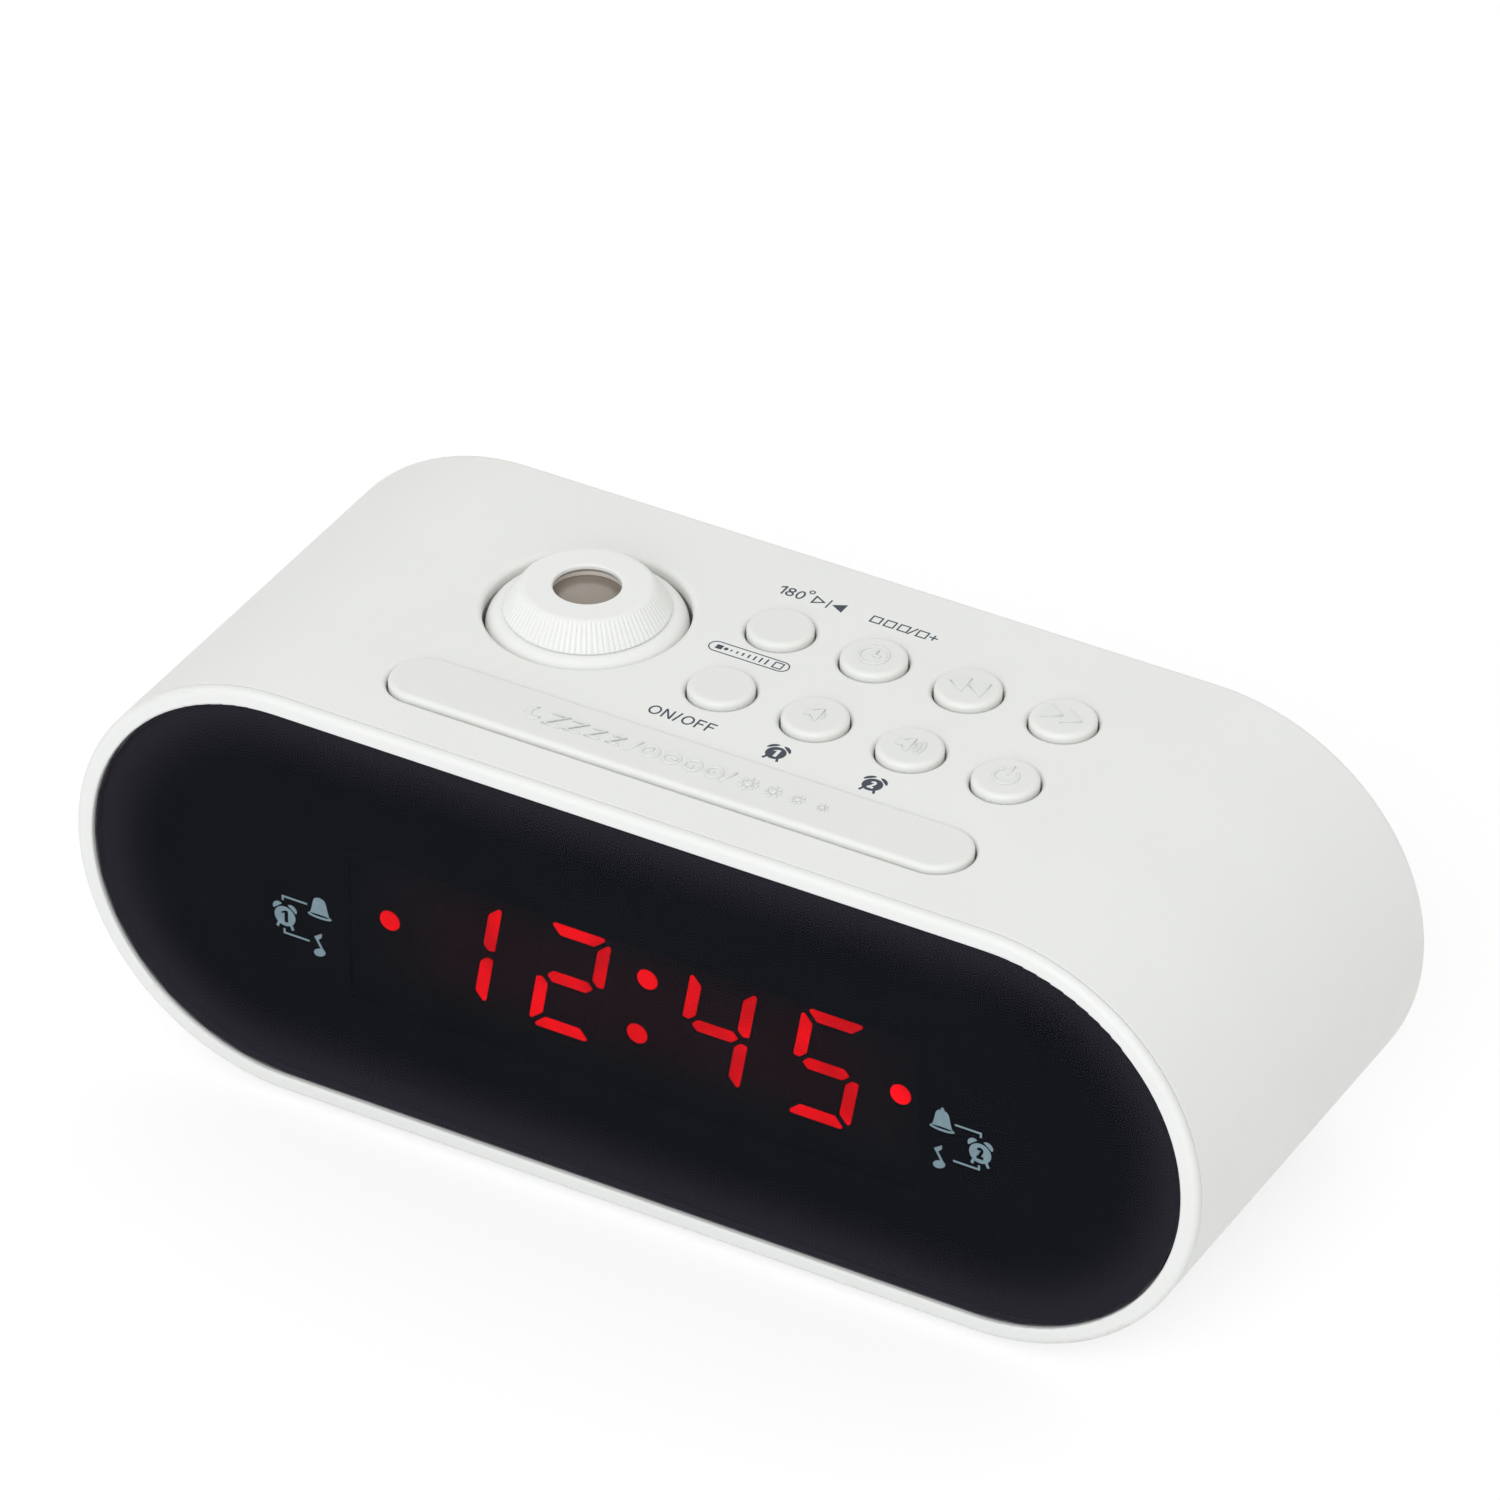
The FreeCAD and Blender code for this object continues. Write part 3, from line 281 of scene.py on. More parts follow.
def moulded_white(name, colour, roughness):
    """Satin white moulding: fine grain, faint flow patches and edges painted lighter as a painted
    highlight.
    """
    finish = Finish(name, colour, roughness, specular=0.42)
    finish.mottle(26.0, 0.018)
    finish.polish(5.0, roughness - 0.05, roughness + 0.05)
    # The lighter copy of the colour is the painted highlight on the edges
    finish.soft_edges_and_painted_highlight(0.18, [min(1.0, c * 1.06) for c in colour])
    finish.set("Subsurface Weight", 0.18)
    finish.set("Subsurface Radius", (1.0, 0.75, 0.55))
    finish.set("Subsurface Scale", 1.1 * MM)
    return finish.grain(0.32, 0.0022).material


def matte_plastic(name, colour, roughness, grain=0.004, specular=0.35):
    """Plain matte moulding with a spark-eroded grain."""
    finish = Finish(name, colour, roughness, specular=specular)
    finish.mottle(9.0, 0.12)
    finish.polish(3.0, roughness - 0.06, roughness + 0.06)
    return finish.grain(0.25, grain).material


def smoked_acrylic(colours):
    """The panel: dark, clear and polished."""
    finish = Finish("smoked_acrylic", colours.panel, 0.06, specular=0.05)
    finish.mottle(20.0, 0.2)
    finish.polish(14.0, 0.045, 0.085)
    finish.set("Alpha", 0.30)
    finish.set("IOR", 1.49)
    return finish.material


# The painted glow's strength, which stands in for the digits' light scattered in the panel, and where it
# fades, in millimetres from the middle of the digits
PAINTED_GLOW = 0.011
PAINTED_GLOW_FADE_SIDEWAYS = (32.0, 50.0)
PAINTED_GLOW_FADE_UPWARD = (5.0, 13.0)


def display_block(name, colours, roughness):
    """Black plastic round the digits, with a faint red glow painted near them for the digits' scattered
    light.
    """
    finish = Finish(name, colours.module, roughness, specular=0.0)
    finish.mottle(9.0, 0.12)
    sideways = finish.math("ABSOLUTE", finish.coordinate("X"))
    upward = finish.math("ABSOLUTE", finish.math("SUBTRACT", finish.coordinate("Z"), DIGITS.z))
    along = finish.spread(sideways, 1.0, 0.0, *PAINTED_GLOW_FADE_SIDEWAYS)
    near = finish.spread(upward, 1.0, 0.0, *PAINTED_GLOW_FADE_UPWARD)
    # Painted glow: red light given off by the plastic near the digits
    painted_glow = finish.math("MULTIPLY", finish.math("MULTIPLY", along, near), PAINTED_GLOW)
    finish.glow(finish.solid(colours.digits), painted_glow)
    return finish.grain(0.25, 0.004).material


def masking_ink(colours):
    """Dark ink behind the panel, painted paler towards the panel's edge as a painted reflection."""
    finish = Finish("masking_ink", colours.mask, 0.6, specular=0.0)
    half_high = (LENS_HIGH.z - LENS_LOW.z) / 2
    sideways = finish.math("ABSOLUTE", finish.coordinate("X"))
    past_straight = finish.math("MAXIMUM", finish.math("SUBTRACT", sideways, LENS_HIGH.x - half_high))
    upward = finish.math("SUBTRACT", finish.coordinate("Z"), (LENS_HIGH.z + LENS_LOW.z) / 2)
    squares = finish.math(
        "ADD", finish.math("POWER", past_straight, 2.0), finish.math("MULTIPLY", upward, upward)
    )
    from_spine = finish.math("SQRT", squares)
    fade = 12.0
    reflection_share = finish.spread(from_spine, 0.0, 1.0, half_high - fade, half_high)
    # Painted reflection: the paler colour rises towards the panel's edge
    finish.paint(colours.painted_edge_reflection, finish.math("POWER", reflection_share, 1.8))
    return finish.polish(4.0, 0.5, 0.7).material


def lit_diffuser(colour):
    """The glowing strokes: cloudy resin, weaker in places, and brighter in the outer dots."""
    finish = Finish("lit_diffuser", (0.05, 0.0, 0.001), 0.5, specular=0.0)
    past_digits = 42.0
    sideways = finish.math("ABSOLUTE", finish.coordinate("X"))
    strokes = finish.spread(finish.noise(6.0, 1.0), 1.05, 1.65, 0.35, 0.65)
    dots = finish.spread(sideways, 0.0, 0.45, past_digits, past_digits + 0.5)
    finish.glow(finish.solid(colour), finish.math("ADD", strokes, dots))
    return finish.grain(0.5, 0.01).material


def printed_ink(name, colour, specular=0.3):
    """Screen-printed ink: thin, slightly uneven, half matte."""
    finish = Finish(name, colour, 0.5, specular=specular)
    finish.mottle(1.2, 0.12)
    finish.polish(0.8, 0.42, 0.58)
    return finish.grain(0.12, 0.002).material


def bare_metal(name, colour, roughness, streak=(1.0, 1.0, 1.0)):
    """Plated or rolled metal with fine streaks."""
    finish = Finish(name, colour, roughness, metallic=1.0)
    finish.mottle(2.5, 0.15)
    finish.polish(1.2, roughness - 0.08, roughness + 0.1)
    return finish.grain(0.15, 0.002, streak).material


def solder_mask():
    """Green board: tracks show as paler lines under the lacquer."""
    finish = Finish("solder_mask", (0.020, 0.11, 0.045), 0.35)
    values = {"Vector": finish.scaled(3.2), "Scale": 1.0}
    cells = finish.node("ShaderNodeTexVoronoi", values, feature="DISTANCE_TO_EDGE")
    tracks = finish.spread(cells.outputs["Distance"], 1.0, 0.0, 0.05, 0.09)
    finish.paint((0.045, 0.20, 0.075), tracks)
    return finish.polish(4.0, 0.28, 0.42).material


def ribbed_rubber():
    """Soft black rubber, dusty on top of its grain."""
    finish = Finish("foot_rubber", (0.022, 0.022, 0.022), 0.85, specular=0.3)
    finish.paint((0.06, 0.06, 0.058), finish.spread(finish.noise(2.5, 4.0), 0.0, 0.7))
    return finish.grain(0.3, 0.02).material


def cell_jacket():
    """Metal jacket of a cell: dark wrap with a coppery end."""
    finish = Finish("cell_jacket", (0.03, 0.032, 0.036), 0.3, metallic=0.2)
    band_start = corners("battery_cells")[1].x - 15.0
    band = finish.spread(finish.coordinate("X"), 0.0, 1.0, band_start, band_start + 0.4)
    finish.paint((0.42, 0.20, 0.08), band)
    return finish.polish(3.0, 0.22, 0.36).material


def clear_plastic(name, colour, roughness, clear=1.0):
    """Moulded optics, clear or a little milky."""
    finish = Finish(name, colour, roughness)
    finish.set("Transmission Weight", clear)
    finish.set("IOR", 1.49)
    finish.paint([c * 0.96 for c in colour], finish.spread(finish.noise(4.0), 0.0, 1.0))
    finish.polish(2.0, roughness, roughness + 0.03)
    return finish.material


def slide_glass():
    """The small display that is projected: mottled grey glass."""
    finish = Finish("slide_glass", (0.30, 0.27, 0.24), 0.12)
    finish.mottle(1.5, 0.2)
    return finish.polish(1.0, 0.08, 0.2).material


def wear(material, *names):
    """Gives CAD parts a material."""
    for name in names:
        mesh = NODES[name].data
        mesh.materials.clear()
        mesh.materials.append(material)


def wear_slot(material, slot):
    """Gives a material to each CAD part whose first material in model.glb is named after this slot."""
    for node in list(NODES.values()):
        first = node.data.materials[0] if node.data.materials else None
        if first is not None and first.name.split(".")[0] == slot:
            wear(material, node.name)


# Flat outlines, in millimetres, as lists of points

def oval(u, v, half_wide, half_high, turn=0.0, steps=36):
    """An ellipse, turned by an angle in degrees."""
    cos, sin = math.cos(math.radians(turn)), math.sin(math.radians(turn))
    points = []
    for step in range(steps):
        angle = 2 * math.pi * step / steps
        x, y = half_wide * math.cos(angle), half_high * math.sin(angle)
        points.append((u + x * cos - y * sin, v + x * sin + y * cos))
    return points


def disc(u, v, radius):
    """A circle."""
    return oval(u, v, radius, radius)


def arc(u, v, radius, start, end, steps=14):
    """Points along an arc between two angles in degrees."""
    angles = [math.radians(start + (end - start) * step / steps) for step in range(steps + 1)]
    return [(u + radius * math.cos(a), v + radius * math.sin(a)) for a in angles]


def rectangle(left, right, low, high):
    """A rectangle."""
    return [(left, low), (right, low), (right, high), (left, high)]


def pill(left, right, low, high):
    """A bar with full-round ends."""
    radius = (high - low) / 2
    centre = (high + low) / 2
    return (
        arc(right - radius, centre, radius, -90, 90) + arc(left + radius, centre, radius, 90, 270)
    )


def stroke(path, width):
    """A line of this width along a path, with flat ends and mitred corners."""
    points = [Vector(p) for p in path]
    left, right = [], []
    for i, point in enumerate(points):
        before = (point - points[i - 1]).normalized() if i else (points[1] - point).normalized()
        after = (points[i + 1] - point).normalized() if i + 1 < len(points) else before
        along = (before + after).normalized()
        side = Vector((-along.y, along.x))
        reach = width / 2 / max(side.dot(Vector((-before.y, before.x))), 0.5)
        left.append(point + side * reach)
        right.append(point - side * reach)
    return [tuple(p) for p in right + left[::-1]]


def ring(u, v, radius, width):
    """A ring, as its solid outline and the hole in it."""
    return [disc(u, v, radius + width / 2)], [disc(u, v, radius - width / 2)]


def frame_of(outer, inner):
    """What lies between two outlines."""
    return [outer], [inner]


def placed(outlines, u, v, wide, high):
    """Outlines stretched by a width and a height, and carried to a place."""
    return [[(u + x * wide, v + y * high) for x, y in outline] for outline in outlines]


def moved(shapes, u, v, scale=1.0):
    """Solid and hole outlines carried to another place and size."""
    return [
        (placed(solid, u, v, scale, scale), placed(holes, u, v, scale, scale))
        for solid, holes in shapes
    ]


# Marks built on a face of the part

# How far the foot of a soft edge lies below its top, as a share of the edge's width
SHOULDER_DROP = 0.8

# What the triangulation gives back, and the distance at which it merges points
INSIDE_TRIANGLES = 1
MERGE_DISTANCE = 1e-5


class Face:
    """A flat face that carries marks: a point on it in millimetres, and the ways across and up it."""

    def __init__(self, centre, across, up):
        self.centre, self.across, self.up = Vector(centre), Vector(across), Vector(up)
        self.out = self.across.cross(self.up)

    def at(self, u, v, rise):
        """The place of a mark's point, in metres."""
        return (self.centre + self.across * u + self.up * v + self.out * rise) * MM


def top_face(u, v, height):
    """A level face, seen from above."""
    return Face((u, v, height), (1, 0, 0), (0, 1, 0))


def anticlockwise(outline):
    """The outline, turned round if it goes clockwise."""
    area = sum(a[0] * b[1] - b[0] * a[1] for a, b in zip(outline, outline[1:] + outline[:1]))
    return outline if area > 0 else outline[::-1]


def flat_triangles(solid, holes):
    """Points and triangles that cover the solid outlines together, less the holes."""
    points, faces = [], []
    for outline in [anticlockwise(o) for o in solid + holes]:
        faces.append(list(range(len(points), len(points) + len(outline))))
        points += [Vector(p) for p in outline]
    points, _, triangles, _, _, origins = delaunay_2d_cdt(
        points, [], faces, INSIDE_TRIANGLES, MERGE_DISTANCE
    )
    kept = []
    for triangle, origin in zip(triangles, origins):
        filled = any(i < len(solid) for i in origin)
        if filled and not any(i >= len(solid) for i in origin):
            kept.append(list(triangle))
    used = sorted({i for triangle in kept for i in triangle})
    number = {old: new for new, old in enumerate(used)}
    return [points[i] for i in used], [[number[i] for i in t] for t in kept]


def rim_of(points, triangles):
    """The edges on the outside of the triangles, and each rim point's way inwards."""
    edges = {}
    for triangle in triangles:
        for a, b in zip(triangle, triangle[1:] + triangle[:1]):
            edges[(a, b)] = True
    rim = [edge for edge in edges if (edge[1], edge[0]) not in edges]
    inward = {}
    for a, b in rim:
        along = (points[b] - points[a]).normalized()
        for end in (a, b):
            inward[end] = inward.get(end, Vector((0, 0))) + Vector((-along.y, along.x))
    return rim, {i: v.normalized() if v.length > 1e-6 else Vector((0, 0)) for i, v in inward.items()}


def add_prism(face, shape, foot, height, soft, vertices, faces, smooth):
    """Adds one closed prism over a shape.

    Its top edge is pulled in by the soft width, and slopes down to a shoulder that lies lower by
    a share of that width.
    """
    points, triangles = flat_triangles(*shape)
    rim, inward = rim_of(points, triangles)
    bottom = len(vertices)
    top = bottom + len(points)
    vertices += [face.at(p.x, p.y, foot) for p in points]
    for i, p in enumerate(points):
        inner = p + inward.get(i, Vector((0, 0))) * soft
        vertices.append(face.at(inner.x, inner.y, height))
    shoulder = {}
    for i in inward:
        shoulder[i] = len(vertices)
        vertices.append(face.at(points[i].x, points[i].y, height - soft * SHOULDER_DROP))
    for a, b, c in triangles:
        faces.append((bottom + c, bottom + b, bottom + a))
        faces.append((top + a, top + b, top + c))
        smooth += [False, False]
    for a, b in rim:
        if soft:
            faces.append((bottom + a, bottom + b, shoulder[b], shoulder[a]))
            faces.append((shoulder[a], shoulder[b], top + b, top + a))
            smooth += [True, True]
        else:
            faces.append((bottom + a, bottom + b, top + b, top + a))
            smooth.append(False)


def mark(name, body, material, face, shapes, height, soft=0.0, sink=0.02):
    """A piece made of flat shapes that stand on a face by this height."""
    vertices, faces, smooth = [], [], []
    for shape in shapes:
        add_prism(face, shape, -sink, height, soft, vertices, faces, smooth)
    mesh = bpy.data.meshes.new(name)
    mesh.from_pydata(vertices, [], faces)
    mesh.polygons.foreach_set("use_smooth", smooth)
    mesh.validate()
    mesh.materials.append(material)
    piece = bpy.data.objects.new(name, mesh)
    bpy.context.scene.collection.objects.link(piece)
    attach(piece, body)


# Signs

def glyph(character, line):
    """A plain number, a letter of ON or OFF, or a slash, 1 high.

    Gives its width, its solid outlines and its hole outlines.
    """
    half = line / 2
    if character == "1":
        post = 0.34
        flag = [(0.0, 0.66), (post, 0.88), (post, 1.0), (0.28, 1.0), (0.0, 0.82)]
        return post + half, [rectangle(post - half, post + half, 0.0, 1.0), flag], []
    if character == "2":
        wide = 0.6
        crook = arc(wide / 2, 0.7, wide / 2 - half, 170, -35) + [(line * 0.8, line * 0.7)]
        return wide, [stroke(crook, line), rectangle(0.0, wide, 0.0, line)], []
    if character == "8":
        loops = ((0.74, 0.27, 0.26), (0.28, 0.30, 0.28))
        solid = [oval(0.3, v, half_wide, half_high) for v, half_wide, half_high in loops]
        holes = [oval(0.3, v, half_wide - line, half_high - line) for v, half_wide, half_high in loops]
        return 0.6, solid, holes
    if character in "0O":
        reach = 0.3 if character == "0" else 0.42
        return 2 * reach, [oval(reach, 0.5, reach, 0.5)], [oval(reach, 0.5, reach - line, 0.5 - line)]
    if character == "N":
        wide, foot = 0.70, line * 1.1
        posts = [rectangle(0.0, line, 0.0, 1.0), rectangle(wide - line, wide, 0.0, 1.0)]
        slope = [(0.0, 1.0), (wide - foot, 0.0), (wide, 0.0), (foot, 1.0)]
        return wide, [*posts, slope], []
    if character == "F":
        wide, bar = 0.58, 0.46
        bars = [rectangle(0.0, wide, 1.0 - line, 1.0), rectangle(0.0, 0.52, bar, bar + line)]
        return wide, [rectangle(0.0, line, 0.0, 1.0), *bars], []
    if character == "/":
        wide, past = 0.34, 0.04
        return wide, [stroke([(half, -past), (wide - half, 1.0 + past)], line)], []
    raise ValueError("no shape for " + character)


def line_of_text(text, extent, line, gap):
    """Plain numbers, or ON and OFF, stretched over an extent: left, right, low, high."""
    left, right, low, high = extent
    tall = high - low
    glyphs = [glyph(character, line / tall) for character in text]
    natural = sum(wide for wide, _, _ in glyphs) + gap * (len(text) - 1)
    stretch = (right - left) / natural
    parts, u = [], left
    for wide, solid, holes in glyphs:
        parts.append((placed(solid, u, low, stretch, tall), placed(holes, u, low, stretch, tall)))
        u += (wide + gap) * stretch
    return parts


def clock_sign(number, bell_wide, bell_high):
    """A round alarm clock of radius 1: body with a number cut out, two bells on top and two feet."""
    solid = [oval(0, 0, 1.0, 0.96)]
    for side in (-1, 1):
        foot = [(side * 0.55, -0.7), (side * 0.76, -1.2)]
        solid.append(stroke(foot, 0.25))
    number_extent = (-0.34, 0.30, -0.58, 0.58)
    number_solid, _ = line_of_text(number, number_extent, 0.30, 0.0)[0]
    parts = [(solid, number_solid)]
    dome = [p for p in oval(0, 0, bell_high, bell_wide, 0, 28) if p[0] >= -1e-6]
    dome.sort(key=lambda p: math.atan2(p[1], p[0]))
    for turn in (129, 51):
        cos, sin = math.cos(math.radians(turn)), math.sin(math.radians(turn))
        u, v = 1.08 * cos, 1.10 * sin
        parts.append(([[(u + x * cos - y * sin, v + x * sin + y * cos) for x, y in dome]], []))
    return parts


def bell_sign(knob):
    """A hand bell 4 high and 4.4 wide over its rim, standing on its rim at height 0."""
    waist, flare, foot, tall, steps = 1.22, 0.62, 0.45, 3.45, 16
    right = []
    for step in range(steps + 1):
        up = step / steps
        half = (waist + flare * (1 - up) ** 2.2) * math.sqrt(max(0.0, 1 - up ** 7))
        right.append((half, foot + tall * up))
    left = [(-u, v) for u, v in right[-2::-1]]
    solid = [right + left, oval(0, 0.35, 2.2, 0.5)]
    if knob:
        solid.append(disc(0, 4.0, 0.32))
    return [(solid, [oval(0, 0.48, 1.75, 0.20)])]


def note_sign():
    """A quaver 4.5 high: a leaning stem with a flag at its top and a head at its foot."""
    flag = [(-0.95, 3.55), (0.45, 4.55), (0.42, 3.75), (-0.28, 3.05), (-0.62, 3.05)]
    stem = stroke([(-0.72, 3.6), (0.78, 1.0)], 0.42)
    return [([oval(0.0, 0.75, 1.12, 0.72, 24), stem, flag], [])]


def speaker_sign(waves):
    """A loudspeaker 3.8 high with this many waves to its right."""
    magnet = rectangle(-2.0, -1.0, -0.75, 0.75)
    cone = [(-1.1, -0.75), (0.55, -1.9), (0.55, 1.9), (-1.1, 0.75)]
    parts = [([magnet, cone], [])]
    for wave in range(waves):
        parts.append(([stroke(arc(-0.3, 0, 1.45 + 0.75 * wave, -38, 38), 0.34)], []))
    return parts


def timer_sign(share, line):
    """A ring with a pointer, turned by a share of a whole turn."""
    angle = math.radians(90 - 360 * share)
    hand = stroke([(0, 0), (0.85 * math.cos(angle), 0.85 * math.sin(angle))], line)
    return [ring(0, 0, 1.35, line), ([hand], [])]


def moon_sign():
    """A crescent moon of radius 1.6."""
    return [([disc(0, 0, 1.6)], [disc(0.75, 0.45, 1.25)])]


def zigzag_sign(size, line):
    """A zigzag line: across, back down and across again."""
    return [([stroke([(-size, size), (size, size), (-size, -size), (size, -size)], line)], [])]


def sun_sign(core, reach, line):
    """A disc with eight rays round it."""
    parts = [([disc(0, 0, core)], [])]
    for ray in range(8):
        angle = math.radians(45 * ray)
        cos, sin = math.cos(angle), math.sin(angle)
        inner = core + 0.28
        parts.append(([stroke([(inner * cos, inner * sin), (reach * cos, reach * sin)], line)], []))
    return parts


# Pieces

class CLOCK_OT_housing(Operator):
    """Finishes the shell, its front ring, the rear cover, the battery door and the feet"""

    bl_idname = "clock.housing"
    bl_label = "Housing"

    def execute(self, context):
        colours = context.scene.clock_colours
        shell = moulded_white("shell_plastic", tuple(colours.shell), 0.46)
        wear(shell, "main_shell", "rear_cover", "battery_door")
        wear(moulded_white("bezel_plastic", tuple(colours.bezel), 0.46), "front_bezel")
        wear(ribbed_rubber(), "rubber_feet")
        return {"FINISHED"}


class CLOCK_OT_display(Operator):
    """Finishes the panel, the digits and what is behind them, and masks the panel round its window"""

    bl_idname = "clock.display"
    bl_label = "Display"
    window_half_wide = 50.8
    window_half_high = 14.2
    mask_inset = 0.03
    mask_start = 0.01
    mask_end = 0.05
    rim_inset = 0.15
    rim_start = 0.07
    rim_end = 1.5

    def execute(self, context):
        colours = context.scene.clock_colours
        wear(smoked_acrylic(colours), "display_lens")
        wear(lit_diffuser(tuple(colours.digits)), "lit_segments")
        wear(display_block("unlit_diffuser", colours, 0.6), "unlit_segments")
        wear(display_block("module_plastic", colours, 0.7), "display_frame", "led_module")
        back = Face((0, LENS_HIGH.y, 0), (1, 0, 0), (0, 0, 1))
        outer = self.lens_outline(self.mask_inset)
        window = rectangle(-self.window_half_wide, self.window_half_wide,
                           DIGITS.z - self.window_half_high, DIGITS.z + self.window_half_high)
        mark("panel_mask", "housing", masking_ink(colours), back, [frame_of(outer, window)],
             self.mask_end, sink=-self.mask_start)
        inner = self.lens_outline(self.rim_inset)
        # A dark band on the panel's own edge that hides its side wall, coloured paler as a painted
        # reflection
        rim_ink_painted_reflection = matte_plastic("rim_ink_painted_reflection", tuple(colours.mask_rim), 0.6, specular=0.0)
        mark("panel_mask_rim", "housing", rim_ink_painted_reflection, back, [frame_of(outer, inner)],
             self.rim_end, sink=-self.rim_start)
        return {"FINISHED"}

    @staticmethod
    def lens_outline(inset):
        """The panel's outline, drawn in by this much."""
        return pill(LENS_LOW.x + inset, LENS_HIGH.x - inset, LENS_LOW.z + inset, LENS_HIGH.z - inset)


class CLOCK_OT_panel_icons(Operator):
    """Prints the two alarm signs, bells, notes and their joining lines behind the panel"""

    bl_idname = "clock.panel_icons"
    bl_label = "Panel icons"
    clock_radius = 1.92
    clock_height = 33.9
    clock_places = (("one", "1", -62.65), ("two", "2", 61.75))
    bell_places = ((-56.2, 35.8, False), (55.1, 35.8, True))
    note_places = ((-56.35, 28.35), (54.7, 28.45))
    joins = (
        ((-63.0, 36.9), (-63.0, 37.7), (-58.5, 37.7)),
        ((-62.8, 31.5), (-62.8, 30.7), (-58.2, 30.7)),
        ((61.8, 36.9), (61.8, 37.7), (57.3, 37.7)),
        ((61.6, 31.6), (61.6, 30.8), (57.1, 30.8)),
    )
    join_width = 0.36
    behind = 0.06

    def execute(self, context):
        colours, marks = context.scene.clock_colours, context.scene.clock_marks
        ink = printed_ink("panel_ink", tuple(colours.panel_ink), specular=0.0)
        face = Face((0, LENS_HIGH.y - self.behind, 0), (1, 0, 0), (0, 0, 1))
        for name, number, u in self.clock_places:
            sign = moved(clock_sign(number, 0.50, 0.42), u, self.clock_height, self.clock_radius)
            mark("panel_alarm_" + name, "housing", ink, face, sign, marks.ink_height, sink=0.0)
        bells, notes = [], []
        for u, v, knob in self.bell_places:
            bells += moved(bell_sign(knob), u, v)
        for u, v in self.note_places:
            notes += moved(note_sign(), u, v)
        mark("panel_bells", "housing", ink, face, bells, marks.ink_height, sink=0.0)
        mark("panel_notes", "housing", ink, face, notes, marks.ink_height, sink=0.0)
        lines = [([stroke(path, self.join_width)], []) for path in self.joins]
        mark("panel_joining_lines", "housing", ink, face, lines, marks.ink_height, sink=0.0)
        return {"FINISHED"}


class CLOCK_OT_top_labels(Operator):
    """Prints the labels by the keys: signs, plain numbers and ON and OFF"""

    bl_idname = "clock.top_labels"
    bl_label = "Top labels"
    line = 0.26
    text_line = 0.30
    words_extent = (-10.8, 0.8, -12.7, -10.35)
    degrees_extent = (-9.6, -5.15, 26.3, 28.6)
    degree_ring = (-4.6, 29.05, 0.40, 0.22)
    store_lefts = (6.9, 9.35, 11.8, 15.1)
    clock_radius = 1.68
    clock_places = (("one", "1", 12.15, -12.45), ("two", "2", 29.15, -12.5))

    def execute(self, context):
        colours, marks = context.scene.clock_colours, context.scene.clock_marks
        ink = printed_ink("label_ink", tuple(colours.label_ink))
        height = marks.ink_height
        face = top_face(0, 0, SHELL_TOP)
        mark("turn_label", "housing", ink, face, self.turn_sign(), height)
        mark("memory_label", "housing", ink, face, self.memory_sign(), height)
        mark("projector_label", "housing", ink, face, self.projector_sign(), height)
        words = line_of_text("ON/OFF", self.words_extent, self.text_line, 0.16)
        mark("on_off_label", "housing", ink, face, words, height)
        for name, number, u, v in self.clock_places:
            sign = moved(clock_sign(number, 0.62, 0.36), u, v, self.clock_radius)
            mark("alarm_label_" + name, "housing", ink, face, sign, height)
        return {"FINISHED"}

    def turn_sign(self):
        """The number of degrees, then two wedges mirrored about a line."""
        parts = line_of_text("180", self.degrees_extent, self.text_line, 0.12)
        parts.append(ring(*self.degree_ring))
        centre, low, high = -0.8, 26.3, 28.65
        middle_height = (low + high) / 2
        parts.append(([rectangle(centre - self.line / 2, centre + self.line / 2, low, high)], []))
        left = [(-3.55, low), (-1.35, middle_height), (-3.55, high)]
        hollow = [(-3.27, low + 0.46), (-1.90, middle_height), (-3.27, high - 0.46)]
        parts.append(([left], [hollow]))
        parts.append(([[(2.0, low), (2.0, high), (-0.2, middle_height)]], []))
        return parts

    def memory_sign(self):
        """Three store places, a slash, one place and a plus."""
        parts = []
        low, high, side = 26.35, 28.25, 1.9
        for left in self.store_lefts:
            right = left + side
            inner = rectangle(left + self.line, right - self.line, low + self.line, high - self.line)
            parts.append(frame_of(rectangle(left, right, low, high), inner))
        parts.append(([stroke([(13.85, low - 0.1), (14.75, high + 0.1)], self.line)], []))
        u, v, arm = 18.05, 27.3, 0.75
        parts.append(([rectangle(u - arm, u + arm, v - self.line / 2, v + self.line / 2),
                       rectangle(u - self.line / 2, u + self.line / 2, v - arm, v + arm)], []))
        return parts

    def projector_sign(self):
        """A rounded frame that holds a lamp, a beam that widens, and a screen."""
        left, right, low, high, line = -11.6, 2.7, 7.1, 9.9, 0.2
        parts = [frame_of(pill(left, right, low, high),
                          pill(left + line, right - line, low + line, high - line))]
        v = (low + high) / 2
        lamp = [rectangle(-10.3, -9.2, v - 0.55, v + 0.55)]
        lens = [disc(-8.55, v, 0.36)]
        parts += [(lamp, []), (lens, [])]
        beam_start, beam_pitch, bar_half_wide = -7.6, 1.05, 0.14
        for step in range(7):
            u = beam_start + beam_pitch * step
            half_high = 0.22 + 0.09 * step
            bar = rectangle(u - bar_half_wide, u + bar_half_wide, v - half_high, v + half_high)
            parts.append(([bar], []))
        screen = rectangle(-0.1, 1.6, v - 0.85, v + 0.85)
        parts.append(frame_of(screen, rectangle(0.12, 1.38, v - 0.63, v + 0.63)))
        return parts


